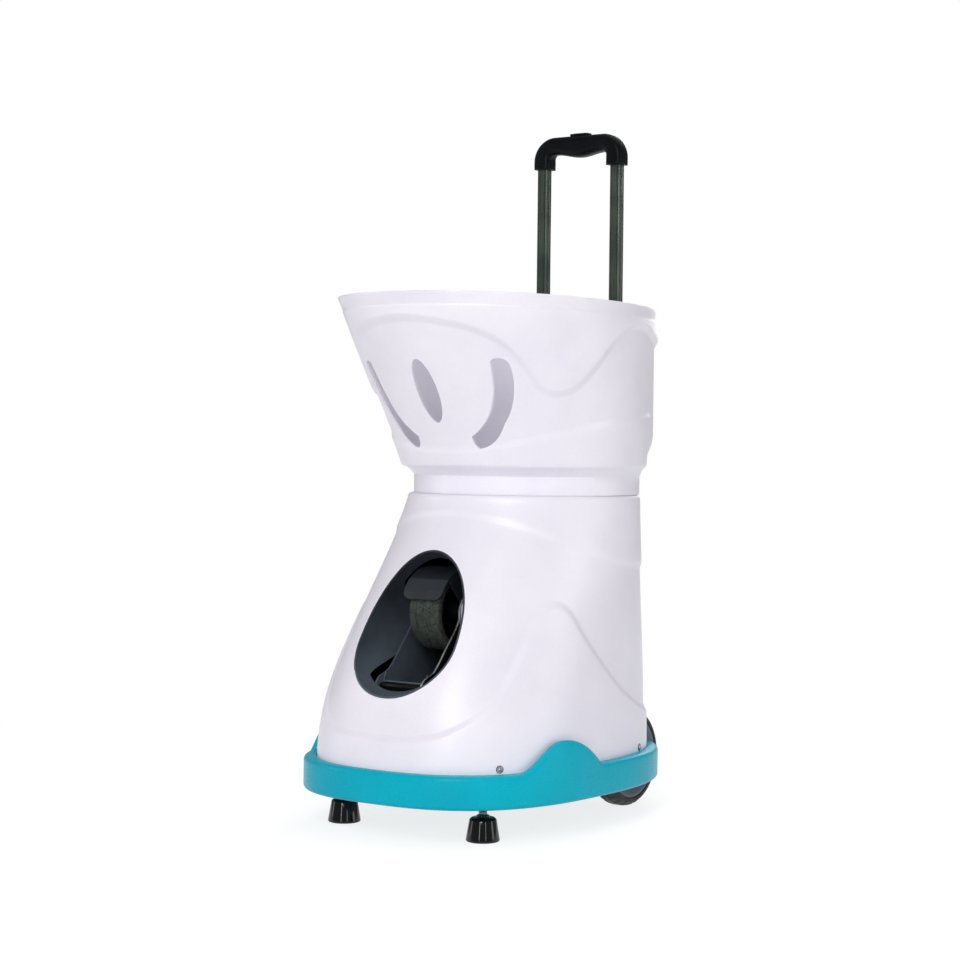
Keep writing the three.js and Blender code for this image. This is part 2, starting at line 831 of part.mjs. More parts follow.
function bodyInside() {
  const top = seamHeight - deckThickness;
  const shoulder = top - shoulderRound;
  const levelAt = (k) => lerp(footHeight, shoulder, k / levelSteps);
  const levels = Array.from({ length: levelSteps + 1 }, (_, k) => levelAt(k));
  return skin([
    bodyRing(() => footHeight - overrun, -shellWall, innerColumns),
    ...levels.map((z) => bodyRing(() => z, -shellWall, innerColumns)),
    bodyRing(() => top, -shellWall - shoulderRound, innerColumns),
  ]);
}

// The raised spine up the back that holds the handle tubes
function spineBlock(shrink, bottom, top) {
  const width = 2 * (spineHalfWidth - shrink);
  const length = 2 * (spineRearY - shrink - seamCentreY);
  const shape = roundedRectangle(width, length, spineCorner - shrink, 0, seamCentreY);
  return slab(shape, bottom, top, softCornerSteps);
}

function bodyShell() {
  const top = seamHeight - deckThickness;
  const half = block(-trayHalfWidth, trayHalfWidth, seamCentreY, trayHalfLength, 0, rimHeight);
  const spine = common(spineBlock(0, spineBottom, seamHeight), half);
  const spineInside = common(spineBlock(shellWall, spineBottom + shellWall, top), half);
  const recessY = spineRearY - panelRecess;
  const recessShape = (grow) => (
    roundedRectangle(panelWidth + 2 * grow, panelHeight + 2 * grow, panelCorner + grow, 0, panelZ));
  const recess = frontSlab(recessShape(0), recessY, spineRearY + overrun, softCornerSteps);
  const backing = frontSlab(
    recessShape(shellWall), recessY - shellWall, spineRearY - shellWall / 2, softCornerSteps);
  const mouth = frontSlab(mouthShape(), -trayHalfLength - overrun, seamCentreY - seamFrontLength);
  const wells = [1, -1].map((side) => wellBlock(side, wellWall + seatGap, footHeight - overrun));
  const holeEnds = [top - overrun, seamHeight + overrun];
  const tubeHoles = [1, -1].map((side) => (
    tubeBlock(outerTubeWidth, outerTubeDepth, seatGap, side * handleHalfSpan, ...holeEnds)));
  const holeRadius = bowlRadius + bowlWall + seatGap;
  const bowlHole = post(
    holeRadius, top - shoulderRound, seamHeight + overrun, 0, feedCentreY, holeRadius, wideSides);
  const holeStart = recessY - shellWall - overrun;
  const socketHole = rod(socketRadius + seatGap, holeStart, spineRearY, socketX, panelZ);
  const buttonHole = rod(powerButtonRadius + seatGap, holeStart, spineRearY, powerButtonX, panelZ);
  const walls = cut(join(skin(bodyRings()), spine), bodyInside(), spineInside);
  const holes = [...wells, ...tubeHoles, bowlHole, socketHole, buttonHole];
  add('body_shell', 'white', cut(join(walls, backing), recess, mouth, ...holes));
}

function mouthLiner() {
  const angles = Array.from({ length: mouthSides }, (_, k) => -((2 * k) / mouthSides) * Math.PI);
  const ring = (share, depthShare, shrink) => angles.map((angle) => {
    const flat = mouthPoint(angle, share, shrink);
    const edge = mouthPoint(angle, 1, shrink);
    const deep = lerp(linerDepth, linerTopDepth, Math.max(Math.sin(angle), 0));
    return new THREE.Vector3(flat.x, bodyFrontY(edge.x, edge.y) + lerp(linerInset, deep, depthShare), flat.y);
  });
  const rings = [
    ring(1, 0, seatGap),
    ring(1, linerCollarShare, seatGap),
    ring(linerTaperShare, 1, seatGap),
    ring(linerTaperShare, 1, seatGap + linerWall),
    ring(1, linerCollarShare, seatGap + linerWall),
    ring(1, 0, seatGap + linerWall),
  ];
  add('mouth_liner', 'liner', hoop(rings));
}

// Hopper bowl with rim, view slots, sloping floor and the channel for the handle

const rimPoint = (angle) => sectionPoint(hopperSection(rimHeight), angle, rimHeight);
const rimAt = (drop) => (angle) => rimTopAt(rimPoint(angle).y) - drop;

function hopperOutside() {
  const wave = (lift) => (angle) => hopperWave(angle) + lift;
  const ridge = (lift) => (angle) => hopperRidge(angle) + lift;
  const flat = (z) => () => z;
  return skin([
    hopperRing(flat(seamHeight + seatGap), -seatGap),
    hopperRing(flat(neckTop - stepRun), -seatGap),
    hopperRing(flat(neckTop + stepRun), ridgeStep),
    hopperRing(between(flat(neckTop + stepRun), ridge(0), middleShare), ridgeStep),
    hopperRing(ridge(0), ridgeStep),
    hopperRing(ridge(stepRun), 0),
    ...bandRingShares.map((share) => hopperRing(between(ridge(stepRun), wave(-stepRun), share), 0)),
    hopperRing(wave(-stepRun), 0),
    hopperRing(wave(stepRun), panelStep),
    hopperRing(rimAt(rimBand + rimBandStep), panelStep - rimBandStep),
    hopperRing(rimAt(rimBand), 0),
    hopperRing(rimAt(rimBandStep), 0),
    hopperRing(rimAt(0), -rimBandStep),
  ]);
}

function hopperInside() {
  const levels = Array.from({ length: levelSteps + 1 }, (_, k) => k / levelSteps);
  return skin([
    ...levels.map((share) => (
      hopperRing(between(() => hopperFloorTop, rimAt(0), share), -hopperWall, innerColumns))),
    hopperRing(rimAt(-overrun), -hopperWall, innerColumns),
  ]);
}

// The channel that the handle stands in, up the back of the hopper
function channelBlock(grow, bottom, top) {
  const width = 2 * (channelHalfWidth + grow);
  const length = 2 * (rimRearY + overrun - channelFrontY + grow);
  const shape = roundedRectangle(width, length, channelCorner + grow, 0, rimRearY + overrun);
  return slab(shape, bottom, top, softCornerSteps);
}

// A raised edge beside the channel
function cheek(side) {
  const inner = channelHalfWidth;
  const outer = channelHalfWidth + cheekWidth;
  const front = channelFrontY + channelCorner;
  const high = rimHeight - rimBand;
  const low = cheekBottom - cheekToe;
  const shape = new THREE.Shape();
  shape.moveTo(front, low);
  shape.lineTo(cheekRearY - cheekRamp, low);
  shape.lineTo(cheekRearY, cheekBottom);
  shape.lineTo(cheekRearY, cheekTop);
  shape.lineTo(cheekRearY - cheekChamfer, high);
  shape.lineTo(front, high);
  shape.closePath();
  return sideSlab(shape, side > 0 ? inner : -outer, side > 0 ? outer : -inner);
}

// Horn-shaped view slot: an outer and an inner arc that meet in a point at the top
function hornShape(side) {
  const shape = new THREE.Shape();
  const at = ([across, up]) => [side * hornWidth * across, lerp(hornBottom, hornTop, up)];
  shape.moveTo(...at(hornTipShares));
  hornArcShares.forEach(([bend, end]) => shape.quadraticCurveTo(...at(bend), ...at(end)));
  return shape;
}

// Lens-shaped view slot: a pointed oval
function lensShape() {
  const shape = new THREE.Shape();
  const middle = (lensTop + lensBottom) / 2;
  shape.moveTo(0, lensTop);
  shape.quadraticCurveTo(-2 * lensHalfWidth, middle, 0, lensBottom);
  shape.quadraticCurveTo(2 * lensHalfWidth, middle, 0, lensTop);
  return shape;
}

function hopperShell() {
  const slotEnd = seamCentreY - slotReach;
  const slots = [lensShape(), hornShape(1), hornShape(-1)].map((shape) => (
    frontSlab(shape, -trayHalfLength, slotEnd, slotCurveSteps)));
  const floorBottom = hopperFloorTop - hopperFloorDrop;
  const low = seamHeight - overrun;
  const mouthX = (angle) => hopperMouthRadius * Math.sin(angle);
  const mouthY = (angle) => feedCentreY - hopperMouthRadius * Math.cos(angle);
  const dish = skin([
    innerColumns.map((angle) => new THREE.Vector3(mouthX(angle), mouthY(angle), floorBottom)),
    hopperRing(() => hopperFloorTop, -dishInset, innerColumns),
  ]);
  const throat = post(
    hopperMouthRadius, low, floorBottom + seatGap, 0, feedCentreY, hopperMouthRadius, wideSides);
  const underRadius = neckHalfWidth - neckFoot;
  const under = post(underRadius, low, floorBottom - hopperWall, 0, seamCentreY, underRadius, wideSides);
  const top = rimHeight + 2 * overrun;
  const bowl = cut(hopperOutside(), hopperInside(), dish, throat);
  const lining = common(hopperOutside(), channelBlock(hopperWall, low, top));
  const whole = join(bowl, lining, cheek(1), cheek(-1));
  add('hopper_shell', 'white', cut(whole, channelBlock(0, low, top), under, ...slots));
}

// Telescoping pull handle: two outer tubes, two stages and a grip with a release button

// A block in the outline of a tube, larger all round by a gap
function tubeBlock(width, depth, grow, x, bottom, top) {
  const shape = roundedRectangle(width + 2 * grow, depth + 2 * grow, tubeCorner + grow, x, handleY);
  return slab(shape, bottom, top);
}

function squareTube(width, depth, x, bottom, top, grooved) {
  const shape = roundedRectangle(width, depth, tubeCorner, x, handleY);
  const inside = [width - 2 * tubeWall, depth - 2 * tubeWall, tubeCorner - tubeWall];
  shape.holes.push(roundedRectangle(...inside, x, handleY));
  const tube = slab(shape, bottom, top, cornerSteps);
  if (!grooved) return tube;
  const grooves = [1, -1].map((face) => {
    const faceY = handleY + face * (depth / 2);
    const sides = [x - grooveWidth / 2, x + grooveWidth / 2];
    return block(...sides, faceY - grooveDepth, faceY + grooveDepth, bottom - overrun, top + overrun);
  });
  return cut(tube, ...grooves);
}

function handleTubes() {
  const outer = [outerTubeWidth, outerTubeDepth];
  const middle = [middleTubeWidth, middleTubeDepth];
  const inner = [innerTubeWidth, innerTubeDepth];
  const innerTop = gripBottom + gripSocketDepth - seatGap;
  [['left', 1], ['right', -1]].forEach(([name, side]) => {
    const x = side * handleHalfSpan;
    const stage = (size, bottom, top, grooved) => squareTube(...size, x, bottom, top, grooved);
    add(`outer_tube_${name}`, 'steel', stage(outer, outerTubeBottom, outerTubeTop));
    add(`middle_tube_${name}`, 'anodised', stage(middle, middleTubeTop - middleTubeLength, middleTubeTop));
    add(`inner_tube_${name}`, 'anodised', stage(inner, innerTop - innerTubeLength, innerTop, true));
    add(`outer_collar_${name}`, 'black', tubeCollar(x, outer, middle, outerTubeTop, seamHeight + seatGap));
    add(`middle_collar_${name}`, 'black', tubeCollar(
      x, middle, inner, middleTubeTop, middleTubeTop - collarHeight / 2));
  });
}

// A bush that caps one tube and guides the next
function tubeCollar(x, size, next, tubeTop, bottom) {
  const top = bottom + collarHeight;
  const around = tubeBlock(...size, collarWall, x, bottom, top);
  const seat = tubeBlock(...size, seatGap, x, bottom - overrun, tubeTop + seatGap);
  const guide = tubeBlock(...next, slideGap, x, bottom, top + overrun);
  return cut(around, seat, guide);
}

function handleGrip() {
  const top = gripBottom + gripHeight;
  const side = gripHalfWidth - gripRound;
  const low = gripBottom + gripRound;
  const high = top - gripRound;
  const inner = gripHalfWidth - gripSocketWidth + gripRound;
  const under = top - gripBarHeight + gripRound;
  const turn = inner - gripCorner - gripRound;
  const shape = new THREE.Shape();
  shape.moveTo(-side, low);
  shape.lineTo(-side, high - gripCorner);
  shape.quadraticCurveTo(-side, high - gripRound, -side + gripCorner, high);
  shape.lineTo(side - gripCorner, high);
  shape.quadraticCurveTo(side, high - gripRound, side, high - gripCorner);
  shape.lineTo(side, low);
  shape.lineTo(inner, low);
  shape.quadraticCurveTo(inner, under, turn, under);
  shape.quadraticCurveTo(0, under - gripBend, -turn, under);
  shape.quadraticCurveTo(-inner, under, -inner, low);
  shape.closePath();
  const body = new THREE.ExtrudeGeometry(shape, {
    depth: gripDepth - 2 * gripRound,
    bevelSize: gripRound,
    bevelThickness: gripRound,
    bevelSegments: softCornerSteps,
    curveSegments: gripCurveSteps,
  });
  body.rotateX(Math.PI / 2).translate(0, handleY + gripDepth / 2 - gripRound, 0);
  const socketEnds = [gripBottom - overrun, gripBottom + gripSocketDepth];
  const sockets = [1, -1].map((hand) => (
    tubeBlock(innerTubeWidth, innerTubeDepth, seatGap, hand * handleHalfSpan, ...socketEnds)));
  const buttonBottom = top + buttonRise - buttonHeight;
  const pocket = tubeBlock(
    buttonWidth, buttonDepth, seatGap, 0, buttonBottom - buttonTravel - seatGap, top + overrun);
  add('handle_grip', 'black', cut(body, ...sockets, pocket));
  add('release_button', 'black', tubeBlock(buttonWidth, buttonDepth, 0, 0, buttonBottom, top + buttonRise));
}

// Foot bracket that the outer tubes stand on
function handleBracket() {
  const top = outerTubeBottom - seatGap;
  const halfWidth = handleHalfSpan + outerTubeWidth / 2;
  const legFront = handleY - outerTubeDepth / 2 - bracketThickness;
  const legRear = handleY;
  const plateRear = handleY + outerTubeDepth / 2;
  const plate = block(-halfWidth, halfWidth, legFront, plateRear, top - bracketThickness, top);
  const toe = halfWidth - 2 * bracketToe;
  const foot = block(
    -toe, toe, legFront - bracketToe, legRear - bracketThickness, trayFloorTop + seatGap,
    trayFloorTop + seatGap + bracketThickness);
  const legs = [1, -1].map((side) => {
    const middle = side * (handleHalfSpan - bracketThickness);
    return block(
      middle - bracketLegHalf, middle + bracketLegHalf, legFront, legRear - bracketThickness,
      trayFloorTop + seatGap, top);
  });
  add('handle_bracket', 'steel', join(plate, foot, ...legs));
}

// Feeder: a bowl in the deck, a star-shaped carousel with round pockets, and the motor under it

const dropY = feedCentreY - pocketPitch;

function feeder() {
  const flangeTop = seamHeight + seatGap + bowlFlangeThickness;
  const outer = bowlRadius + bowlWall;
  const bowl = turned([
    [0, bowlFloor - bowlFloorWall], [outer, bowlFloor - bowlFloorWall], [outer, seamHeight + seatGap],
    [outer + bowlFlange, seamHeight + seatGap], [outer + bowlFlange, flangeTop], [bowlRadius, flangeTop],
    [bowlRadius, bowlFloor], [0, bowlFloor],
  ], wideSides).translate(0, feedCentreY, 0);
  const floorEnds = [bowlFloor - bowlFloorWall - overrun, bowlFloor + overrun];
  const dropHole = post(chuteBore / 2, ...floorEnds, 0, dropY);
  const shaftBore = feedShaftRadius + seatGap;
  const shaftHole = post(shaftBore, ...floorEnds, 0, feedCentreY, shaftBore, smallSides);
  add('feeder_bowl', 'black', cut(bowl, dropHole, shaftHole));

  const plateBottom = bowlFloor + carouselLift;
  const plateTop = plateBottom + carouselHeight;
  const plate = post(carouselRadius, plateBottom, plateTop, 0, feedCentreY, carouselRadius, wideSides);
  const cone = post(carouselHub, plateTop - seatGap, plateTop + coneHeight, 0, feedCentreY, coneTopRadius);
  const below = plateBottom - overrun;
  const above = plateTop + overrun;
  const pockets = Array.from({ length: pocketCount }, (_, k) => {
    const round = post(pocketRadius, below, above, 0, -pocketPitch);
    const rim = -carouselRadius - overrun;
    const way = block(-pocketMouthHalf, pocketMouthHalf, rim, -pocketPitch, below, above);
    return join(round, way).rotateZ((k / pocketCount) * Math.PI * 2).translate(0, feedCentreY, 0);
  });
  const shaftTop = plateTop - runGap;
  const bore = post(shaftBore, below, shaftTop + seatGap, 0, feedCentreY, shaftBore, smallSides);
  add('feed_carousel', 'greyBlue', cut(join(plate, cone), ...pockets, bore));

  const motorTop = bowlFloor - bowlFloorWall - seatGap;
  const can = post(feedMotorRadius, motorTop - feedMotorHeight, motorTop, 0, feedCentreY);
  const shaftEnds = [motorTop - seatGap, shaftTop];
  const shaft = post(feedShaftRadius, ...shaftEnds, 0, feedCentreY, feedShaftRadius, smallSides);
  add('feed_motor', 'steel', join(can, shaft));
}

// Chute that bends down and forward under the drop hole
function feedChute() {
  const top = bowlFloor - bowlFloorWall - seatGap;
  const tube = (radius, beyond) => {
    const knee = new THREE.Vector3(0, dropY, chuteKneeHeight + chuteKneeRun);
    const corner = new THREE.Vector3(0, dropY, chuteKneeHeight);
    const end = new THREE.Vector3(0, chuteEndY, chuteEndHeight);
    const onward = end.clone().sub(corner).normalize();
    const route = new THREE.CurvePath();
    route.add(new THREE.LineCurve3(new THREE.Vector3(0, dropY, top + beyond), knee));
    route.add(new THREE.QuadraticBezierCurve3(knee, corner, end));
    if (beyond > 0) route.add(new THREE.LineCurve3(end, end.clone().addScaledVector(onward, beyond)));
    const shape = new THREE.Shape();
    shape.absarc(0, 0, radius, 0, Math.PI * 2);
    const settings = { steps: chuteRings, curveSegments: chuteArcSteps, extrudePath: route };
    return new THREE.ExtrudeGeometry(shape, settings);
  };
  add('feed_chute', 'black', cut(tube(chuteBore / 2 + chuteWall, 0), tube(chuteBore / 2, overrun)));
}

// Throwing head, drawn on its own level path and then tipped up about the point between the wheels.
// On the level path the front is towards -Y and the wheels stand above and below it.

function onPath(geometry) {
  return geometry.rotateX(-pathRise).translate(0, nip.y, nip.z);
}

function plateOutline() {
  const reach = nipToWheel;
  const points = plateShares.map(([forward, up]) => new THREE.Vector2(-forward * reach, up * reach));
  const curve = new THREE.SplineCurve([...points, points[0]]);
  return new THREE.Shape(curve.getPoints(plateShares.length * plateCurveSteps).slice(0, -1));
}

function throwingHead() {
  const outer = plateGapHalf + plateThickness;
  const shaftHole = throwHubBore + seatGap;
  const through = outer + overrun;
  [['left', 1], ['right', -1]].forEach(([name, side]) => {
    const [from, to] = side > 0 ? [plateGapHalf, outer] : [-outer, -plateGapHalf];
    const holes = [nipToWheel, -nipToWheel].map((z) => bar(shaftHole, -through, through, 0, z, smallSides));
    const pinHole = bar(pivotPinRadius + seatGap, -through, through, pivotToNip, 0, smallSides);
    add(`side_plate_${name}`, 'steel', onPath(cut(sideSlab(plateOutline(), from, to), ...holes, pinHole)));
    const [inner, head] = [plateGapHalf - seatGap, armInnerX + armThickness + seatGap];
    const ends = side > 0 ? [inner, head] : [-head, -inner];
    const cap = side > 0 ? [head, head + plateThickness] : [-head - plateThickness, -head];
    const shank = bar(pivotPinRadius, ...ends, pivotToNip, 0, smallSides);
    const knob = bar(pivotHeadRadius, ...cap, pivotToNip, 0, smallSides);
    add(`pivot_pin_${name}`, 'steel', onPath(join(shank, knob)));
  });
  const halfRod = plateGapHalf - seatGap;
  tieRodPlaceShares.forEach(([forward, up], k) => {
    add(`tie_rod_${k + 1}`, 'steel', onPath(bar(
      tieRodRadius, -halfRod, halfRod, -forward * nipToWheel, up * nipToWheel, smallSides)));
  });

  [['upper', 1], ['lower', -1]].forEach(([name, side]) => {
    const z = side * nipToWheel;
    const treadBore = throwRadius - throwTreadThickness;
    const hubEdge = treadBore * Math.cos(Math.PI / wheelSides) - seatGap;
    const half = throwWidth / 2;
    const hub = bar(hubEdge, -half, half, 0, z, roundSides);
    const dishEnds = [[-half - overrun, -throwSpokeWall], [throwSpokeWall, half + overrun]];
    const dishes = dishEnds.map(([from, to]) => cut(
      bar(hubEdge - throwSpokeWall / 2, from, to, 0, z, roundSides),
      bar(throwHubBore + throwSpokeWall, from, to, 0, z, smallSides)));
    const bore = bar(throwHubBore + seatGap, -half - overrun, half + overrun, 0, z, smallSides);
    add(`throw_hub_${name}`, 'black', onPath(cut(hub, ...dishes, bore)));
    const tread = turnedHoop([
      [treadBore, -half], [throwRadius - treadCrown, -half], [throwRadius, -half + 2 * treadCrown],
      [throwRadius, half - 2 * treadCrown], [throwRadius - treadCrown, half], [treadBore, half],
    ], wheelSides).rotateY(Math.PI / 2).translate(0, 0, z);
    add(`throw_tread_${name}`, 'foam', onPath(tread));

    const face = plateGapHalf + plateThickness + seatGap;
    const canStart = face + motorFlange - seatGap;
    const can = bar(throwMotorRadius, canStart, face + throwMotorLength, 0, z, roundSides);
    const flange = bar(throwMotorRadius + motorFlange, face, face + motorFlange, 0, z, roundSides);
    const shaft = bar(throwHubBore, -plateGapHalf - plateThickness, face + motorFlange, 0, z, smallSides);
    add(`throw_motor_${name}`, 'steel', onPath(join(can, flange, shaft)));
  });

  // Guide trough between the plates, slotted for the lower wheel
  const halfTrough = plateGapHalf - seatGap;
  const floorBottom = -troughDrop - troughWall;
  const floor = block(-halfTrough, halfTrough, -troughFront, troughBack, floorBottom, -troughDrop);
  const lips = [1, -1].map((side) => {
    const reach = [halfTrough - troughWall, halfTrough];
    const [from, to] = side > 0 ? reach : [-reach[1], -reach[0]];
    return block(from, to, -troughFront, troughBack, floorBottom, -troughDrop + troughLip);
  });
  const slotHalf = troughSlotLength / 2;
  const slot = block(-troughSlotHalf, troughSlotHalf, -slotHalf, slotHalf, -nipToWheel, 0);
  add('guide_trough', 'liner', onPath(cut(join(floor, ...lips), slot)));

  // Hood over the upper wheel: an arc with two ears down to its shaft
  const arc = (inner, outerRadius, from, to) => {
    const shape = new THREE.Shape();
    const [start, finish] = [from, to].map(THREE.MathUtils.degToRad);
    shape.absarc(0, 0, outerRadius, start, finish, false);
    shape.absarc(0, 0, inner, finish, start, true);
    return shape;
  };
  const tip = pathRiseDegrees;
  const half = hoodHalfWidth;
  const band = arc(hoodRadius - hoodWall, hoodRadius, hoodRearDegrees + tip, hoodFrontDegrees + tip);
  const cover = sideSlab(band, -half, half, hoodCurveSteps);
  const earTop = hoodRadius - hoodWall / 2;
  const ear = arc(hoodEarRadius, earTop, hoodEarStartDegrees + tip, hoodEarEndDegrees + tip);
  const ears = [[half - hoodWall, half], [-half, -half + hoodWall]].map(([from, to]) => (
    sideSlab(ear, from, to, armCurveSteps)));
  const bossTurn = THREE.MathUtils.degToRad(hoodBossDegrees + tip);
  const [bossY, bossZ] = [hoodBossReach * Math.cos(bossTurn), hoodBossReach * Math.sin(bossTurn)];
  const bossEnds = [[half - seatGap, plateGapHalf - seatGap], [seatGap - plateGapHalf, seatGap - half]];
  const bosses = bossEnds.map(([from, to]) => bar(hoodBossRadius, from, to, bossY, bossZ, smallSides));
  add('wheel_hood', 'liner', onPath(join(cover, ...ears, ...bosses).translate(0, 0, nipToWheel)));
}

// Gears. One outline of straight-sided teeth on a root circle.
function toothPoints(teeth, from = 0, to = teeth) {
  const pitch = (gearModule * teeth) / 2;
  const root = pitch - gearModule * gearRootShare;
  const tip = pitch + gearModule - gearBack;
  const step = (Math.PI * 2) / teeth;
  const points = [];
  for (let tooth = from; tooth < to; tooth += 1) {
    const middle = tooth * step;
    const wide = step * gearFlankShare;
    const narrow = step * gearCrestShare;
    [[root, -wide], [tip, -narrow], [tip, narrow], [root, wide]].forEach(([radius, turn]) => {
      points.push(new THREE.Vector2(radius * Math.cos(middle + turn), radius * Math.sin(middle + turn)));
    });
  }
  return points;
}

// Teeth over part of the round, closed by an arc behind them
function toothedSector(teeth, halfTeeth, backRadius, backTurn) {
  const shape = new THREE.Shape(toothPoints(teeth, -halfTeeth, halfTeeth + 1));
  shape.absarc(0, 0, backRadius, backTurn, 2 * Math.PI - backTurn, false);
  shape.closePath();
  return shape;
}

const gearCentreGap = (gearModule * (yawGearTeeth + pinionTeeth)) / 2 + gearBack;

function turningFrame() {
  const floor = trayFloorTop + seatGap;
  const ringTop = floor + bearingHeight;
  const ring = cut(
    post(bearingRadius, floor, ringTop, 0, pivotY, bearingRadius, roundSides),
    post(bearingRadius - bearingWidth, floor - overrun, ringTop + overrun, 0, pivotY));
  add('turntable_bearing', 'steel', ring);

  const gearBottom = ringTop + seatGap;
  const gearTop = gearBottom + yawGearThickness;
  const yawRoot = gearModule * (yawGearTeeth / 2 - gearRootShare);
  const yawBackTurn = ((2 * yawHalfTeeth + 1) * Math.PI) / yawGearTeeth;
  const yawOutline = toothedSector(yawGearTeeth, yawHalfTeeth, yawRoot, yawBackTurn);
  const gear = slab(yawOutline, gearBottom, gearTop, roundSides).rotateZ(Math.PI / 2).translate(0, pivotY, 0);
  const gearHole = post(yawGearBore, gearBottom - overrun, gearTop + overrun, 0, pivotY);
  add('yaw_gear', 'gear', cut(gear, gearHole));

  const diskBottom = gearTop + seatGap;
  const diskTop = diskBottom + turntableThickness;
  const disk = post(turntableRadius, diskBottom, diskTop, 0, pivotY);
  const pinionY = pivotY + gearCentreGap;
  const armShape = (branch) => {
    const shape = new THREE.Shape();
    shape.moveTo(pivotY - armFootHalf, diskBottom);
    shape.lineTo(pivotY - armBoss, pivotHeight);
    shape.absarc(pivotY, pivotHeight, armBoss, Math.PI, branch ? Math.PI / 2 : 0, true);
    if (branch) {
      shape.lineTo(pinionY, pivotHeight + armBoss);
      shape.absarc(pinionY, pivotHeight, armBoss, Math.PI / 2, -Math.PI / 2, true);
      shape.lineTo(pivotY + armFootHalf + armBoss, pivotHeight - armBoss);
    }
    shape.lineTo(pivotY + armFootHalf, diskBottom);
    shape.closePath();
    return shape;
  };
  const arms = [
    sideSlab(armShape(false), armInnerX, armInnerX + armThickness, armCurveSteps),
    sideSlab(armShape(true), -armInnerX - armThickness, -armInnerX, armCurveSteps),
  ];
  const reach = armInnerX + armThickness + overrun;
  const pinHole = bar(pivotPinRadius + seatGap, -reach, reach, pivotY, pivotHeight, smallSides);
  const shaftHole = bar(gearShaftRadius + seatGap, -reach, 0, pinionY, pivotHeight, smallSides);
  add('yaw_frame', 'black', cut(join(disk, ...arms), pinHole, shaftHole));

  // Drive for the turntable: pinion on an upright gear motor with its own foot
  const pinion = slab(new THREE.Shape(toothPoints(pinionTeeth)), gearBottom, gearTop);
  pinion.rotateZ(-Math.PI / 2 + Math.PI / pinionTeeth).translate(0, pinionY, 0);
  const shaftBore = gearShaftRadius + seatGap;
  const boreEnds = [gearBottom - overrun, gearTop + overrun];
  const pinionBore = post(shaftBore, ...boreEnds, 0, pinionY, shaftBore, smallSides);
  add('yaw_pinion', 'gear', cut(pinion, pinionBore));
  const motorBottom = gearTop + seatGap;
  const legFront = pinionY + gearMotorRadius + motorLegGap;
  const legRear = legFront + motorFlange;
  const can = post(gearMotorRadius, motorBottom, motorBottom + gearMotorHeight, 0, pinionY);
  const shaftEnds = [floor, motorBottom + motorFlange];
  const shaft = post(gearShaftRadius, ...shaftEnds, 0, pinionY, gearShaftRadius, smallSides);
  const plateTo = (y0, y1, z0, z1) => block(-gearMotorRadius, gearMotorRadius, y0, y1, z0, z1);
  const shelf = plateTo(pinionY, legRear, motorBottom, motorBottom + motorFlange);
  const leg = plateTo(legFront, legRear, floor, motorBottom + motorFlange);
  const toe = plateTo(legFront, legFront + gearMotorRadius, floor, floor + motorFlange);
  add('yaw_motor', 'steel', join(can, shaft, shelf, leg, toe));

  // Drive for the tilt: toothed sector on the right side plate, pinion and motor on the right arm
  const plateFace = -plateGapHalf - plateThickness - seatGap;
  const sectorFace = plateFace - sectorOffset;
  const step = 360 / sectorTeeth;
  const halfTeeth = Math.round(sectorHalfDegrees / step);
  const sectorShape = toothedSector(sectorTeeth, halfTeeth, armBoss, Math.PI / 2);
  const sector = sideSlab(sectorShape, sectorFace - sectorThickness, sectorFace, armCurveSteps);
  const hub = bar(sectorHubRadius, sectorFace - seatGap, plateFace, 0, 0, smallSides);
  const bore = bar(pivotPinRadius + seatGap, -reach, 0, 0, 0, smallSides);
  add('pitch_sector', 'gear', cut(join(sector, hub), bore).translate(0, pivotY, pivotHeight));

  const pinionFrom = sectorFace - sectorThickness / 2 - pinionWidth / 2;
  const smallGear = sideSlab(new THREE.Shape(toothPoints(pinionTeeth)), pinionFrom, pinionFrom + pinionWidth);
  smallGear.rotateX(Math.PI / pinionTeeth);
  const smallBore = bar(gearShaftRadius + seatGap, -reach, 0, 0, 0, smallSides);
  add('pitch_pinion', 'gear', cut(smallGear, smallBore).translate(0, pinionY, pivotHeight));
  const armFace = -armInnerX - armThickness - seatGap;
  add('pitch_motor', 'steel', join(
    bar(gearMotorRadius, armFace - gearMotorHeight, armFace, pinionY, pivotHeight),
    bar(gearShaftRadius, armFace - motorFlange, pinionFrom + pinionWidth, pinionY, pivotHeight, smallSides)));
}

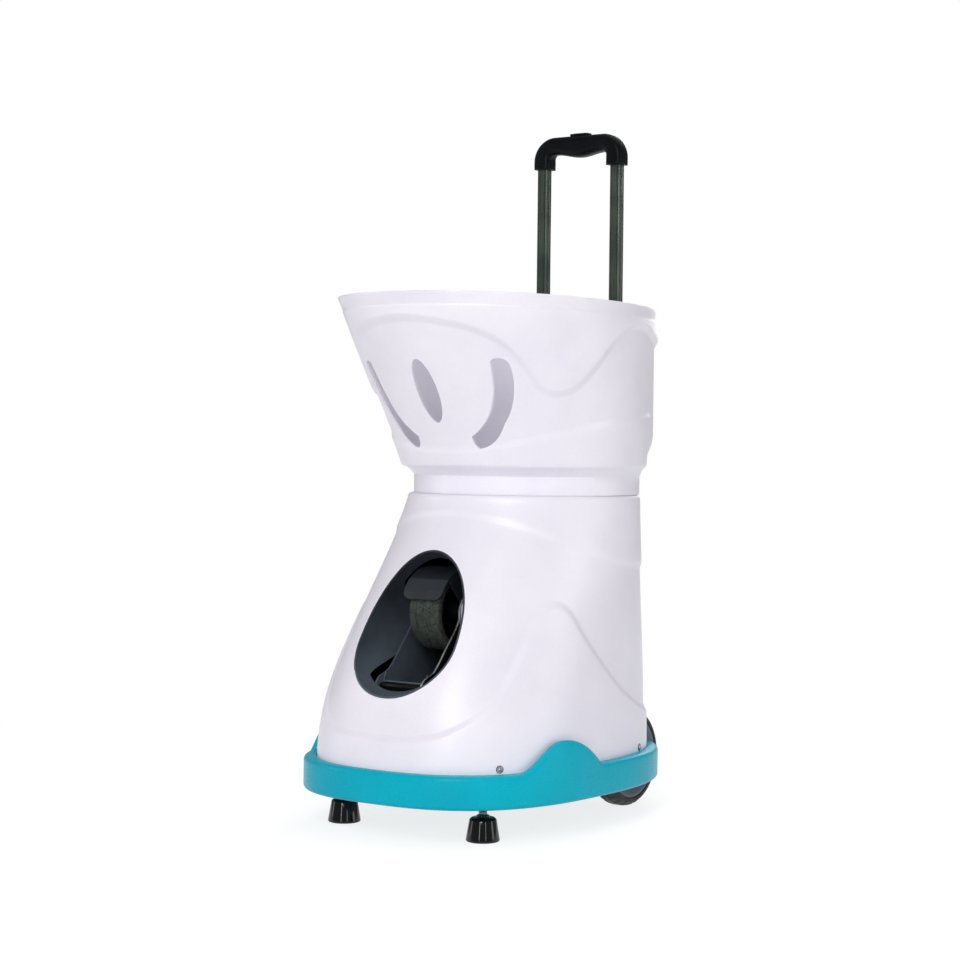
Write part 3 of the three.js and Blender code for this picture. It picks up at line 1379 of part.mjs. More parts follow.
// Battery, control box and the rear panel with its button, socket and cap
function electrics() {
  const floor = trayFloorTop + seatGap;
  const softBox = (width, depth, height, x, y) => {
    const shape = roundedRectangle(width - 2 * batteryEdge, depth - 2 * batteryEdge, batteryEdge, x, y);
    const geometry = new THREE.ExtrudeGeometry(shape, {
      depth: height - batteryEdge,
      bevelSize: batteryEdge,
      bevelThickness: batteryEdge / 2,
      bevelSegments: cornerSteps,
      curveSegments: softCornerSteps,
    });
    return geometry.translate(0, 0, floor + batteryEdge / 2);
  };
  add('battery_pack', 'black', softBox(batteryWidth, batteryDepth, batteryHeight, 0, batteryY));
  add('control_box', 'black', softBox(boxWidth, boxLength, boxHeight, boxX, boxY));

  const front = spineRearY - panelRecess + seatGap;
  const back = front + panelThickness;
  const shape = roundedRectangle(
    panelWidth - 2 * seatGap, panelHeight - 2 * seatGap, panelCorner - seatGap, 0, panelZ);
  const plate = frontSlab(shape, front, back, softCornerSteps);
  const buttonHole = rod(powerButtonRadius + slideGap, front - overrun, back + overrun, powerButtonX, panelZ);
  const socketHole = rod(socketRadius + seatGap, front - overrun, back + overrun, socketX, panelZ);
  add('rear_panel', 'black', cut(plate, buttonHole, socketHole));
  const buttonBack = back + powerButtonProud;
  add('power_button', 'greyBlue', rod(
    powerButtonRadius, buttonBack - socketLength, buttonBack, powerButtonX, panelZ));
  add('charge_socket', 'black', cut(
    rod(socketRadius, back - socketLength, back, socketX, panelZ),
    rod(socketRadius - runGap, back - socketLength + runGap, back + overrun, socketX, panelZ)));
  const capBack = back + seatGap + capThickness;
  const knuckleX = socketX + capRadius + capHingeRadius;
  const cap = rod(capRadius, back + seatGap, capBack, socketX, panelZ);
  const capEnds = [panelZ - capRadius / 2, panelZ + capRadius / 2];
  const ear = block(socketX, knuckleX, back + seatGap, capBack, ...capEnds);
  const pinY = back + seatGap + capHingeRadius;
  const knuckle = post(capHingeRadius, ...capEnds, knuckleX, pinY, capHingeRadius, smallSides);
  add('charge_cap', 'black', join(cap, ear, knuckle));
}

group.name = 'court_machine';
baseTray();
levellingFeet();
roadWheels();
bodyShell();
mouthLiner();
hopperShell();
handleBracket();
handleTubes();
handleGrip();
feeder();
feedChute();
turningFrame();
throwingHead();
electrics();

export default group;
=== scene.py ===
import json
import math

import bmesh
import bpy
from mathutils import Matrix, Vector


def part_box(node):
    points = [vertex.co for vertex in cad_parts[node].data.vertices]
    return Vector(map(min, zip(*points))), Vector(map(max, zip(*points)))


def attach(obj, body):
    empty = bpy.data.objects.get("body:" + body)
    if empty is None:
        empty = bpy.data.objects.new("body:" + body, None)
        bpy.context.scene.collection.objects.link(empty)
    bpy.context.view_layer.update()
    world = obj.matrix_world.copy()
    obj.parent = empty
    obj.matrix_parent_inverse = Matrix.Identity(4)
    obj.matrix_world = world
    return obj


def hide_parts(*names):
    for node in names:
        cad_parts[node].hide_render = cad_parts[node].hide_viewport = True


# A wheeled court machine seen from the front and its left side: moulded shells, a slotted hopper,
# an oval mouth with the throwing wheels behind it, a teal tray, two wheels and a pull handle.
# Sizes are millimetres in the frame of the solids, and become metres where a mesh is made.
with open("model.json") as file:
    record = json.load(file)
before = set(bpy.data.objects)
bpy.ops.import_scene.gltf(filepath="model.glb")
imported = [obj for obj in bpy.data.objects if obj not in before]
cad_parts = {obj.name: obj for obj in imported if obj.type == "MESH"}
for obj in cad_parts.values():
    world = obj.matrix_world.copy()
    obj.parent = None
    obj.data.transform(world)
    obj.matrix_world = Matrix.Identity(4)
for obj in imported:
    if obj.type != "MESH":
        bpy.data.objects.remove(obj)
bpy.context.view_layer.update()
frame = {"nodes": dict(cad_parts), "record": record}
MM = 0.001
SIDES = (("left", 1), ("right", -1))
# How far a cutting tool passes what it cuts, and the little by which it breaks a wall that it ends on
overrun, bite = 5, 0.2

# Housing, as the solids have it
seam_height, seam_centre_y, seam_half_width, seam_front, seam_rear_y = 466, 91, 166, 168, 257
foot_height, foot_half_width, foot_front, foot_centre_y, foot_rear_y = 58.3, 194, 252, -7, 241
shell_wall, flare_height, shoulder_share, shoulder_round = 4, 365, 0.05, 7
foot_front_square, foot_rear_square, flare_curve, front_curve = 0.55, 0.72, 1.15, 0.85
spine_half_width, spine_front_y, spine_rear_y, spine_corner, spine_bottom = 88, 80, 262, 18, 99
recess_width, recess_height, recess_corner, recess_depth, recess_wall = 96, 62, 8, 7, 4
panel_step, ridge_step, seat_gap = 4.5, 3, 0.3
wave_run, ridge_run = 6.5, 7
body_wave_low, body_wave_rise = 138, 179
body_ridge_front, body_ridge_fall, body_ridge_curve = 440, 80, 2.4
hopper_wave_low, hopper_wave_rise = 609.5, 101.5
hopper_ridge_front, hopper_ridge_rise, hopper_ridge_curve = 529, 56, 2.6
neck_half_width, neck_rear_y, neck_top, neck_foot, neck_blend, neck_swell = 168, 260, 506, 12, 8, 0.12
rim_height, rim_fall, rim_half_width, rim_half_length, rim_rear_y = 742, 0.019, 207, 255, 275
rim_square, rim_band, rim_band_step, rim_round, hopper_wall = 0.22, 17, 3, 2, 4
hopper_curve, hopper_side_curve, hopper_rear_curve = 1.1, 0.7, 0.5
hopper_floor, hopper_floor_drop, hopper_floor_sag, hopper_mouth_radius = 496, 22, 5, 117
channel_half_width, channel_front_y, channel_corner = 92, 202, 16
cheek_width, cheek_bevel, cheek_rear_y, cheek_bottom, cheek_top, cheek_round = 17, 11, 273, 545, 700, 14
lens_top, lens_bottom, lens_half_width = 656, 568, 18.5
horn_top, horn_bottom, horn_width = 657, 532, 27
mouth_height, mouth_half_width, mouth_rise, mouth_drop, mouth_sides = 260, 85, 129, 70, 120
liner_wall, liner_depth, liner_top_depth, liner_taper, liner_inset = 2.5, 22, 17, 0.93, 1
liner_side_depth, liner_side_taper, liner_taper_curve = 74, 0.29, 1.3

# Tray, feet and road wheels
tray_half_width, tray_half_length, tray_power = 214, 268, 2.72
tray_bottom, tray_floor, tray_rim, tray_edge = 50, 58, 96, 6
hump_height, hump_centre_y, hump_half_length, hump_wall, hump_curve = 40, -95, 78, 12, 0.85
foot_x, foot_y, cup_radius, cup_top_radius, cup_height = 122, -176, 23.5, 18, 33
boss_radius, boss_height, stud_radius, stud_room, thread_pitch = 15, 14, 6, 22, 1.75
wheel_radius, wheel_width, wheel_outer_x, wheel_y = 73, 36, 129, 194
hub_radius, rim_dish_radius, rim_radius, rim_flange, axle_radius = 15, 44, 53, 7.4, 6
well_wall, well_clearance = 3, 6

# Handle
handle_span, handle_y, tube_corner, tube_wall = 67, 226.5, 2, 1.5
outer_tube, middle_tube, inner_tube = (26, 22), (22, 18), (18, 14)
grip_bottom, grip_height, grip_half_width, grip_depth = 965, 49, 80, 28
grip_corner, grip_socket, grip_bar, grip_bulge = 17, 27, 27, 6
button_width, button_depth, button_corner = 34, 15, 4

# Feeder, chute and throwing head
feed_y, bowl_radius, bowl_wall, bowl_floor, bowl_flange, bowl_bottom_wall = 80, 114, 3, 428, 5, 4
pocket_radius, pocket_pitch, pocket_mouth_half, carousel_radius, carousel_height = 39, 70, 30, 112, 34
shaft_hole = 5.3
chute_bore, chute_wall, chute_knee, chute_knee_run = 78, 2, 280, 32
chute_end_y, chute_end_height = -22, 228
path_rise = math.radians(25)
pivot_y, pivot_height, pivot_reach = -70, 192, 75
throw_gap, throw_radius, throw_width, tread_thickness = 62, 55, 52, 9
plate_gap_half, plate_thickness = 38, 3
hood_radius, hood_half_width, hood_wall, hood_corner = 63, 34, 2.5, 14

# Rear panel
power_x, power_radius, power_hole = -24, 9, 9.5
socket_x, socket_hole, cap_radius, cap_thickness = 22, 8.3, 12, 3
cap_ear_x, cap_ear_half, cap_pin_x, cap_pin_radius = 36, 6, 36.5, 2.5

# The place where the wheels take the ball, and the ball's path through it
nip_y = pivot_y - pivot_reach * math.cos(path_rise)
nip_height = pivot_height + pivot_reach * math.sin(path_rise)
nip = Vector((0, nip_y, nip_height))
nip_to_wheel = throw_gap / 2 + throw_radius
ON_PATH = Matrix.Translation(nip) @ Matrix.Rotation(-path_rise, 4, "X")

# Shares of the half turn from front to back, and of the rise of the wave there
BODY_WAVE = [
    (0, 0), (0.1, 0.03), (0.155, 0.12), (0.195, 0.25), (0.228, 0.44), (0.255, 0.7), (0.283, 0.94),
    (0.32, 1), (0.36, 0.93), (0.414, 0.745), (0.494, 0.525), (0.61, 0.26), (0.71, 0.115),
    (0.86, 0.04), (1, 0.03),
]
HOPPER_WAVE = [
    (0, 1), (0.08, 0.94), (0.14, 0.83), (0.19, 0.645), (0.226, 0.36), (0.25, 0.095), (0.29, 0),
    (0.34, 0.085), (0.393, 0.34), (0.452, 0.655), (0.515, 0.88), (0.57, 0.98), (0.62, 0.96),
    (0.7, 0.8), (1, 0.66),
]
# Horn slot: across in horn widths, up as a share of its height, as a bend and an end for each curve
HORN_TIP = (4.3, 1)
HORN_ARCS = [
    ((4.64, 1), (4.64, 0.9)), ((4.62, 0.76), (4.42, 0.63)), ((4.12, 0.42), (3.57, 0.28)),
    ((2.9, 0.02), (2.03, 0)), ((1.72, 0.02), (1.75, 0.136)), ((2.7, 0.26), (3.15, 0.434)),
    ((3.45, 0.57), (3.59, 0.67)), ((3.74, 0.8), (3.84, 0.93)), ((3.9, 1), (4.3, 1)),
]
# Tray hump: where it starts, is highest and ends, as shares of its half length from its centre
HUMP_SHARES = (-1.08, -0.1, 0.98)
# Side plate of the head, as shares of the distance from the path to a wheel centre: forward and up
PLATE = [
    (0.26, 1.08), (0.22, 0.7), (0.34, 0.2), (0.46, -0.2), (0.66, -0.44), (0.64, -0.64),
    (0.36, -0.86), (0.2, -1.2), (-0.02, -1.3), (-0.24, -1.18), (-0.44, -0.78), (-0.8, -0.46),
    (-1.06, -0.14), (-1.06, 0.12), (-0.8, 0.5), (-0.5, 0.8), (-0.24, 1.2), (0.02, 1.3),
]


# Small helpers

def lerp(a, b, share):
    return a + (b - a) * share


def clamp(value, low, high):
    return max(low, min(high, value))


def ease(share):
    return (1 - math.cos(math.pi * share)) / 2


def steps(count):
    """Shares from 0 to 1, both included"""
    return [k / count for k in range(count + 1)]


def share_at(table, place):
    """Smooth value between the shares of a table, flat at its ends"""
    last = len(table) - 1
    if place >= 1:
        return table[last][1]
    index = clamp(next((k for k, (start, _) in enumerate(table) if start > place), last) - 1, 0, last - 1)

    def slope(k):
        if k <= 0 or k >= last:
            return 0
        return (table[k + 1][1] - table[k - 1][1]) / (table[k + 1][0] - table[k - 1][0])

    (x0, y0), (x1, y1) = table[index], table[index + 1]
    width = x1 - x0
    t = clamp((place - x0) / width, 0, 1)
    rise = y0 + (y1 - y0) * t * t * (3 - 2 * t)
    return rise + slope(index) * width * t * (1 - t) ** 2 - slope(index + 1) * width * t * t * (1 - t)


def linear(code):
    """An sRGB hex colour as linear red, green, blue and alpha"""
    parts = [int(code[k:k + 2], 16) / 255 for k in (1, 3, 5)]
    return [p / 12.92 if p <= 0.04045 else ((p + 0.055) / 1.055) ** 2.4 for p in parts] + [1.0]


def add_node(tree, kind, inputs=None, **settings):
    """A node with its settings, its sockets set by name or place, and other nodes' outputs joined to it"""
    made = tree.nodes.new(kind)
    for name, value in settings.items():
        setattr(made, name, value)
    for name, value in (inputs or {}).items():
        if isinstance(value, bpy.types.NodeSocket):
            tree.links.new(value, made.inputs[name])
        else:
            made.inputs[name].default_value = value
    return made


# Materials

def finish_of(name, roughness, metallic=0.0, **sockets):
    """An empty material with its shader, and the place on the object for its patterns"""
    material = bpy.data.materials.new(name)
    material.use_nodes = True
    tree = material.node_tree
    tree.nodes.clear()
    shader = add_node(tree, "ShaderNodeBsdfPrincipled", {"Roughness": roughness, "Metallic": metallic})
    for socket, value in sockets.items():
        shader.inputs[socket.replace("_", " ").title().replace("Ior", "IOR")].default_value = value
    add_node(tree, "ShaderNodeOutputMaterial", {"Surface": shader.outputs[0]})
    place = add_node(tree, "ShaderNodeTexCoord").outputs["Object"]
    return material, tree, shader, place


def per_metre(size_mm):
    """Scale of a pattern whose patches are about size_mm across"""
    return 1 / (size_mm * MM)


def stretched(value, low, high, start=0.35, stop=0.65):
    """Inputs that stretch a pattern's value from low to high"""
    return {"Value": value, "From Min": start, "From Max": stop, "To Min": low, "To Max": high}


def coat(finish, colour, gloss, relief, depth_mm):
    """Joins a pattern's colour, roughness and relief to the shader of an empty material"""
    material, tree, shader, _ = finish
    tree.links.new(colour, shader.inputs["Base Color"])
    if gloss:
        tree.links.new(gloss, shader.inputs["Roughness"])
    bump = add_node(tree, "ShaderNodeBump", {
        "Height": relief, "Distance": depth_mm * MM, "Strength": 1.0}).outputs[0]
    tree.links.new(bump, shader.inputs["Normal"])
    return material


def grained(name, dark, pale, roughness, grain_mm, grain_depth_mm, patch_mm, polish, **sockets):
    """A moulded surface: broad faint patches of colour, and a fine grain in its colour, gloss and relief"""
    finish = finish_of(name, roughness, **sockets)
    tree, place = finish[1], finish[3]
    patch_share, grain_share = 0.6, 0.4
    patches = add_node(tree, "ShaderNodeTexNoise", {
        "Vector": place, "Scale": per_metre(patch_mm), "Detail": 3, "Roughness": 0.5}).outputs[0]
    grain = add_node(tree, "ShaderNodeTexNoise", {
        "Vector": place, "Scale": per_metre(grain_mm), "Detail": 3, "Roughness": 0.65}).outputs[0]
    broad = add_node(tree, "ShaderNodeMapRange", stretched(patches, 0, patch_share)).outputs[0]
    fine = add_node(tree, "ShaderNodeMapRange", stretched(grain, 0, grain_share)).outputs[0]
    both = add_node(tree, "ShaderNodeMath", {0: broad, 1: fine}, operation="ADD").outputs[0]
    colour = add_node(tree, "ShaderNodeMix", {
        0: both, 6: linear(dark), 7: linear(pale)}, data_type="RGBA").outputs[2]
    gloss = add_node(tree, "ShaderNodeMapRange", stretched(
        grain, roughness - polish, roughness + polish)).outputs[0]
    return coat(finish, colour, gloss, grain, grain_depth_mm)


def moulded_white_abs():
    """Injection moulded ABS, white with a cool violet cast: satin, with a hardly visible spark grain.
    Real grain is 0.3 mm wide, drawn at 1.6 mm so that it shows."""
    return grained("moulded_white_abs", "#e6e2ee", "#f2eff8", roughness=0.38, grain_mm=1.6,
                   grain_depth_mm=0.03, patch_mm=140, polish=0.05, ior=1.53, coat_weight=0.12,
                   coat_roughness=0.3)


def moulded_teal_abs():
    """Teal ABS with a deeper spark grain, which breaks up the sheen along the band.
    Real grain is 0.6 mm wide, drawn at 1.6 mm."""
    return grained("moulded_teal_abs", "#00a2ba", "#00b2c8", roughness=0.3, grain_mm=1.6,
                   grain_depth_mm=0.16, patch_mm=160, polish=0.08, specular_ior_level=0.12)


def textured_black_plastic():
    """Glass-filled nylon from a fine textured mould: nearly black, dull sheen.
    Real grain is 0.4 mm wide, drawn at 1.1 mm."""
    return grained("textured_black_nylon", "#040608", "#0c0f13", roughness=0.38, grain_mm=1.1,
                   grain_depth_mm=0.03, patch_mm=40, polish=0.07, specular_ior_level=0.09)


def polished_black_rubber():
    """Hard butyl rubber from a polished mould: deep black, with narrow bright reflections."""
    return grained("polished_butyl_rubber", "#010202", "#030405", roughness=0.08, grain_mm=3.0,
                   grain_depth_mm=0.004, patch_mm=30, polish=0.03, specular_ior_level=0.4)


def tyre_rubber():
    """Solid tyre rubber: dull black, paler where dust sits in its texture."""
    finish = finish_of("solid_tyre_rubber", roughness=0.5, ior=1.5)
    tree, place = finish[1], finish[3]
    dust_mm, texture_mm = 26, 1.2
    dust = add_node(tree, "ShaderNodeTexNoise", {
        "Vector": place, "Scale": per_metre(dust_mm), "Detail": 5, "Roughness": 0.7}).outputs[0]
    texture = add_node(tree, "ShaderNodeTexNoise", {
        "Vector": place, "Scale": per_metre(texture_mm), "Detail": 2, "Roughness": 0.5}).outputs[0]
    dust_wear_and_painted_light = add_node(tree, "ShaderNodeMapRange", stretched(
        dust, 0, 1, start=0.42, stop=0.72)).outputs[0]
    colour = add_node(tree, "ShaderNodeMix", {
        0: dust_wear_and_painted_light, 6: linear("#050607"), 7: linear("#15161a")}, data_type="RGBA").outputs[2]
    gloss = add_node(tree, "ShaderNodeMapRange", stretched(dust, 0.4, 0.62)).outputs[0]
    return coat(finish, colour, gloss, texture, depth_mm=0.06)


def blue_grey_plastic():
    """Moulded polypropylene, blue grey and satin, with faint flow patches."""
    return grained("moulded_grey_polypropylene", "#434b5b", "#585f71", roughness=0.4, grain_mm=1.5,
                   grain_depth_mm=0.04, patch_mm=35, polish=0.07, ior=1.49)


def lined_metal(name, dark, pale, roughness, metallic, stretch, line_mm, patch_mm, patch_detail, gloss_range):
    """Metal with fine lines along it, drawn out by a stretch of the place, and broad patches of colour"""
    finish = finish_of(name, roughness, metallic)
    tree, place = finish[1], finish[3]
    drawn = add_node(tree, "ShaderNodeMapping", {"Vector": place, "Scale": stretch}).outputs[0]
    lines = add_node(tree, "ShaderNodeTexNoise", {
        "Vector": drawn, "Scale": per_metre(line_mm), "Detail": 2, "Roughness": 0.5}).outputs[0]
    patches = add_node(tree, "ShaderNodeTexNoise", {
        "Vector": place, "Scale": per_metre(patch_mm), "Detail": patch_detail, "Roughness": 0.5}).outputs[0]
    cloudy = add_node(tree, "ShaderNodeMapRange", stretched(patches, 0, 1)).outputs[0]
    colour = add_node(tree, "ShaderNodeMix", {
        0: cloudy, 6: linear(dark), 7: linear(pale)}, data_type="RGBA").outputs[2]
    gloss = add_node(tree, "ShaderNodeMapRange", stretched(lines, *gloss_range)).outputs[0]
    return coat(finish, colour, gloss, lines, depth_mm=0.02)


def anodised_aluminium():
    """Drawn and black anodised aluminium: fine lines along the tube and a soft metal sheen.
    Draw lines are 0.1 mm apart, shown as 1 mm streaks."""
    return lined_metal("black_anodised_aluminium", "#434a47", "#596059", roughness=0.34, metallic=0.85,
                       stretch=(1, 1, 0.015), line_mm=1.0, patch_mm=60, patch_detail=2,
                       gloss_range=(0.24, 0.44))


def brushed_steel():
    """Zinc-plated sheet and turned steel: bright grey with fine brush lines and cloudy plating.
    Brush lines are 0.1 mm apart, shown as 0.8 mm streaks."""
    return lined_metal("zinc_plated_steel", "#a3a7a6", "#cdd0cf", roughness=0.34, metallic=1.0,
                       stretch=(1, 0.05, 1), line_mm=0.8, patch_mm=18, patch_detail=4,
                       gloss_range=(0.26, 0.46))


def blackened_steel():
    """Sheet and rod blackened in oil: dark brown grey with a dull metal sheen and paler rubbed patches."""
    return grained("oil_blackened_steel", "#17181a", "#2b2c2c", roughness=0.45, grain_mm=1.3,
                   grain_depth_mm=0.02, patch_mm=22, polish=0.1, metallic=0.8)


def liner_plastic():
    """Thermoformed dark slate ABS: dull, paler in worn patches, and paler low down as painted light, for the
    light that falls into the lower part of the mouth.
    """
    finish = finish_of("thermoformed_slate_abs", roughness=0.5, ior=1.5)
    tree, place = finish[1], finish[3]
    shaded_height, lit_height, painted_light_share, worn_share = 0.33, 0.2, 0.75, 0.25
    worn_mm, grain_mm = 45, 1.4
    worn = add_node(tree, "ShaderNodeTexNoise", {
        "Vector": place, "Scale": per_metre(worn_mm), "Detail": 4, "Roughness": 0.6}).outputs[0]
    grain = add_node(tree, "ShaderNodeTexNoise", {
        "Vector": place, "Scale": per_metre(grain_mm), "Detail": 3, "Roughness": 0.7}).outputs[0]
    height = add_node(tree, "ShaderNodeSeparateXYZ", {0: place}).outputs["Z"]
    # Painted light: pale below 0.2 m and dark above 0.33 m, the light and shade across the mouth's height
    painted_light_low = add_node(tree, "ShaderNodeMapRange", stretched(
        height, 0, painted_light_share, start=shaded_height, stop=lit_height)).outputs[0]
    patches = add_node(tree, "ShaderNodeMapRange", stretched(worn, 0, worn_share)).outputs[0]
    dust_wear_and_painted_light = add_node(tree, "ShaderNodeMath", {0: painted_light_low, 1: patches}, operation="ADD").outputs[0]
    colour = add_node(tree, "ShaderNodeMix", {
        0: dust_wear_and_painted_light, 6: linear("#191e25"), 7: linear("#4a535e")}, data_type="RGBA").outputs[2]
    gloss = add_node(tree, "ShaderNodeMapRange", stretched(grain, 0.4, 0.6)).outputs[0]
    return coat(finish, colour, gloss, grain, depth_mm=0.05)


def hood_plastic():
    """Compression moulded slate ABS: darker than the lining, smooth, with a faint sheen at its edges."""
    return grained("moulded_dark_slate_abs", "#12171d", "#20262d", roughness=0.42, grain_mm=1.4,
                   grain_depth_mm=0.03, patch_mm=30, polish=0.08, ior=1.5)


def tread_rubber():
    """Soft polyurethane tread: dull green grey, with the fine crazed lines that grip a ball.
    The cells of the craze are about 11 mm across, 90 to the metre, and their lines wander."""
    finish = finish_of("crazed_polyurethane_tread", roughness=0.82, ior=1.48)
    tree, place = finish[1], finish[3]
    cells_per_metre, wander, patch_mm = 90.0, 0.012, 20
    warp = add_node(tree, "ShaderNodeTexNoise", {"Vector": place, "Scale": cells_per_metre, "Detail": 3.0})
    bent = add_node(tree, "ShaderNodeMix", {
        0: wander, 4: place, 5: warp.outputs["Color"]}, data_type="VECTOR").outputs[1]
    cells = add_node(tree, "ShaderNodeTexVoronoi", {
        "Vector": bent, "Scale": cells_per_metre}, feature="DISTANCE_TO_EDGE").outputs[0]
    cracks = add_node(tree, "ShaderNodeMapRange", stretched(
        cells, 0, 1, start=0.01, stop=0.07)).outputs[0]
    patches = add_node(tree, "ShaderNodeTexNoise", {
        "Vector": place, "Scale": per_metre(patch_mm), "Detail": 4, "Roughness": 0.5}).outputs[0]
    cloudy = add_node(tree, "ShaderNodeMapRange", stretched(patches, 0, 1)).outputs[0]
    felt = add_node(tree, "ShaderNodeMix", {
        0: cloudy, 6: linear("#2a312d"), 7: linear("#3c433d")}, data_type="RGBA").outputs[2]
    crazed = add_node(tree, "ShaderNodeMix", {
        0: cracks, 6: linear("#1b1f1d"), 7: felt}, data_type="RGBA").outputs[2]
    return coat(finish, crazed, None, cracks, depth_mm=0.35)


def natural_nylon():
    """Machined natural nylon: warm off-white, waxy, and a little translucent."""
    return grained("natural_nylon", "#cfcabb", "#e2ded2", roughness=0.45, grain_mm=1.2,
                   grain_depth_mm=0.03, patch_mm=25, polish=0.06, ior=1.53, subsurface_weight=0.08)


FINISH = {
    "shell_white": moulded_white_abs(),
    "tray_teal": moulded_teal_abs(),
    "black_plastic": textured_black_plastic(),
    "rubber_black": polished_black_rubber(),
    "tyre_black": tyre_rubber(),
    "grey_plastic": blue_grey_plastic(),
    "anodised": anodised_aluminium(),
    "steel": brushed_steel(),
    "liner": liner_plastic(),
    "tread": tread_rubber(),
    "hood": hood_plastic(),
    "gear_nylon": natural_nylon(),
}
DARK_STEEL = blackened_steel()


# Making meshes

def mesh_object(name, points, faces):
    """A closed mesh from points in millimetres, with its doubles merged and its faces outwards"""
    mesh = bpy.data.meshes.new(name)
    mesh.from_pydata([Vector(point) * MM for point in points], [], faces)
    thing = bpy.data.objects.new(name, mesh)
    bpy.context.scene.collection.objects.link(thing)
    tidy(thing)
    return thing


def tidy(thing, merge_mm=0.002):
    """Merges doubled points, drops faces without area and turns the rest outwards"""
    work = bmesh.new()
    work.from_mesh(thing.data)
    bmesh.ops.remove_doubles(work, verts=work.verts, dist=merge_mm * MM)
    bmesh.ops.dissolve_degenerate(work, edges=work.edges, dist=merge_mm * MM)
    bmesh.ops.recalc_face_normals(work, faces=work.faces)
    work.to_mesh(thing.data)
    work.free()


def loft(name, rings, closed=False):
    """Rings of points joined one to the next, either back to the first or closed by a fan at each end"""
    rows, columns = len(rings), len(rings[0])
    points = [point for ring in rings for point in ring]
    faces = []
    for row in range(rows if closed else rows - 1):
        here, above = row * columns, (row + 1) % rows * columns
        for column in range(columns):
            beside = (column + 1) % columns
            faces.append((here + column, here + beside, above + beside, above + column))
    if not closed:
        for row in (0, rows - 1):
            points.append(sum((Vector(point) for point in rings[row]), Vector()) / columns)
            faces += [(row * columns + column, row * columns + (column + 1) % columns, len(points) - 1)
                      for column in range(columns)]
    return mesh_object(name, points, faces)


def turned(name, profile, centre, axis="Z", side=1, count=72):
    """A profile of radius and height turned about an axis. It ends on the axis or closes on itself."""
    rings = []
    for radius, height in profile:
        ring = []
        for k in range(count):
            c, s = radius * math.cos(math.tau * k / count), radius * math.sin(math.tau * k / count)
            ring.append(Vector((c, s, height) if axis == "Z" else (side * height, c, s)) + Vector(centre))
        rings.append(ring)
    on_axis = profile[0][0] == 0
    return loft(name, rings, closed=not on_axis)


def soften(points, radius, count=4, closed=True):
    """An outline with its corners rounded by curves that start radius away from each"""
    made = []
    most = 0.48
    points = [Vector(point) for point in points]
    for k, corner in enumerate(points):
        if not closed and k in (0, len(points) - 1):
            made.append(corner)
            continue
        before, after = points[k - 1], points[(k + 1) % len(points)]
        start = corner + (before - corner) * min(radius / (before - corner).length, most)
        stop = corner + (after - corner) * min(radius / (after - corner).length, most)
        made += [start.lerp(corner, t).lerp(corner.lerp(stop, t), t) for t in steps(count)]
    return made


def prism(name, outline, axis, low, high):
    """A flat outline thickened along an axis. Outlines across X are drawn in Y and Z, and so on."""
    orders = {
        "X": lambda p, h: (h, p[0], p[1]),
        "Y": lambda p, h: (p[0], h, p[1]),
        "Z": lambda p, h: (p[0], p[1], h),
    }
    count = len(outline)
    points = [orders[axis](point, height) for height in (low, high) for point in outline]
    faces = [tuple(range(count)), tuple(range(count, 2 * count))]
    faces += [(k, (k + 1) % count, count + (k + 1) % count, count + k) for k in range(count)]
    return mesh_object(name, points, faces)


def block(name, low, high):
    (x0, y0, z0), (x1, y1, z1) = low, high
    return prism(name, [(x0, y0), (x1, y0), (x1, y1), (x0, y1)], "Z", z0, z1)


def circle(radius, x=0, y=0, count=48):
    return [(x + radius * math.cos(math.tau * k / count), y + radius * math.sin(math.tau * k / count))
            for k in range(count)]


def rod(name, radius, x, y, axis, low, high, count=48):
    return prism(name, circle(radius, x, y, count), axis, low, high)


def spanning(side, near, far):
    """Two distances from the middle plane as the lower and higher place on one side of it"""
    return sorted((side * near, side * far))


def box_mm(node):
    """The lowest and highest corner of a solid, in millimetres"""
    return [[value / MM for value in corner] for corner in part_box(node)]


def small_rib(width, length, corner, low, high):
    """One copy of a raised rib, which stands up along Z"""
    return prism("rib", rounded_rectangle(width, length, corner, 0, 0, 2), "Z", low, high)


def rounded_rectangle(width, height, radius, x=0, y=0, count=6):
    corners = [(x + a * width / 2, y + b * height / 2) for a, b in ((-1, -1), (1, -1), (1, 1), (-1, 1))]
    points = []
    for (px, py), start in zip(corners, (180, 270, 0, 90)):
        cx = px + math.copysign(radius, x - px)
        cy = py + math.copysign(radius, y - py)
        for t in steps(count):
            turn = math.radians(start + 90 * t)
            points.append((cx + radius * math.cos(turn), cy + radius * math.sin(turn)))
    return points


def bake(thing):
    """The modifiers' result as a plain mesh"""
    graph = bpy.context.evaluated_depsgraph_get()
    made = bpy.data.meshes.new_from_object(thing.evaluated_get(graph))
    old = thing.data
    thing.modifiers.clear()
    thing.data = made
    bpy.data.meshes.remove(old)
    thing.data.name = thing.name
    return thing


def combine(thing, tools, operation):
    """Joins tools to a thing, cuts them out of it, or keeps what they share, and drops them"""
    for tool in tools:
        step = thing.modifiers.new("combine", "BOOLEAN")
        step.operation = operation
        step.solver = "EXACT"
        step.object = tool
    bake(thing)
    for tool in tools:
        bpy.data.objects.remove(tool, do_unlink=True)
    return thing


def cut(thing, *tools):
    return combine(thing, tools, "DIFFERENCE")


def join(thing, *tools):
    return combine(thing, tools, "UNION")


def common(thing, tool):
    return combine(thing, [tool], "INTERSECT")


def soft_edges(thing, width_mm, segments=3, degrees=60):
    """Rounds the edges that are sharper than an angle"""
    step = thing.modifiers.new("edges", "BEVEL")
    step.width = width_mm * MM
    step.segments = segments
    step.limit_method = "ANGLE"
    step.angle_limit = math.radians(degrees)
    step.harden_normals = False
    step.use_clamp_overlap = True
    return bake(thing)


def dress(thing, body, slot, *stands_for, degrees=32):
    """Gives a piece its finish, its smooth shading, its body and the solids it stands for"""
    thing.data.materials.clear()
    thing.data.materials.append(FINISH[slot])
    return settle(thing, body, slot, *stands_for, degrees=degrees)


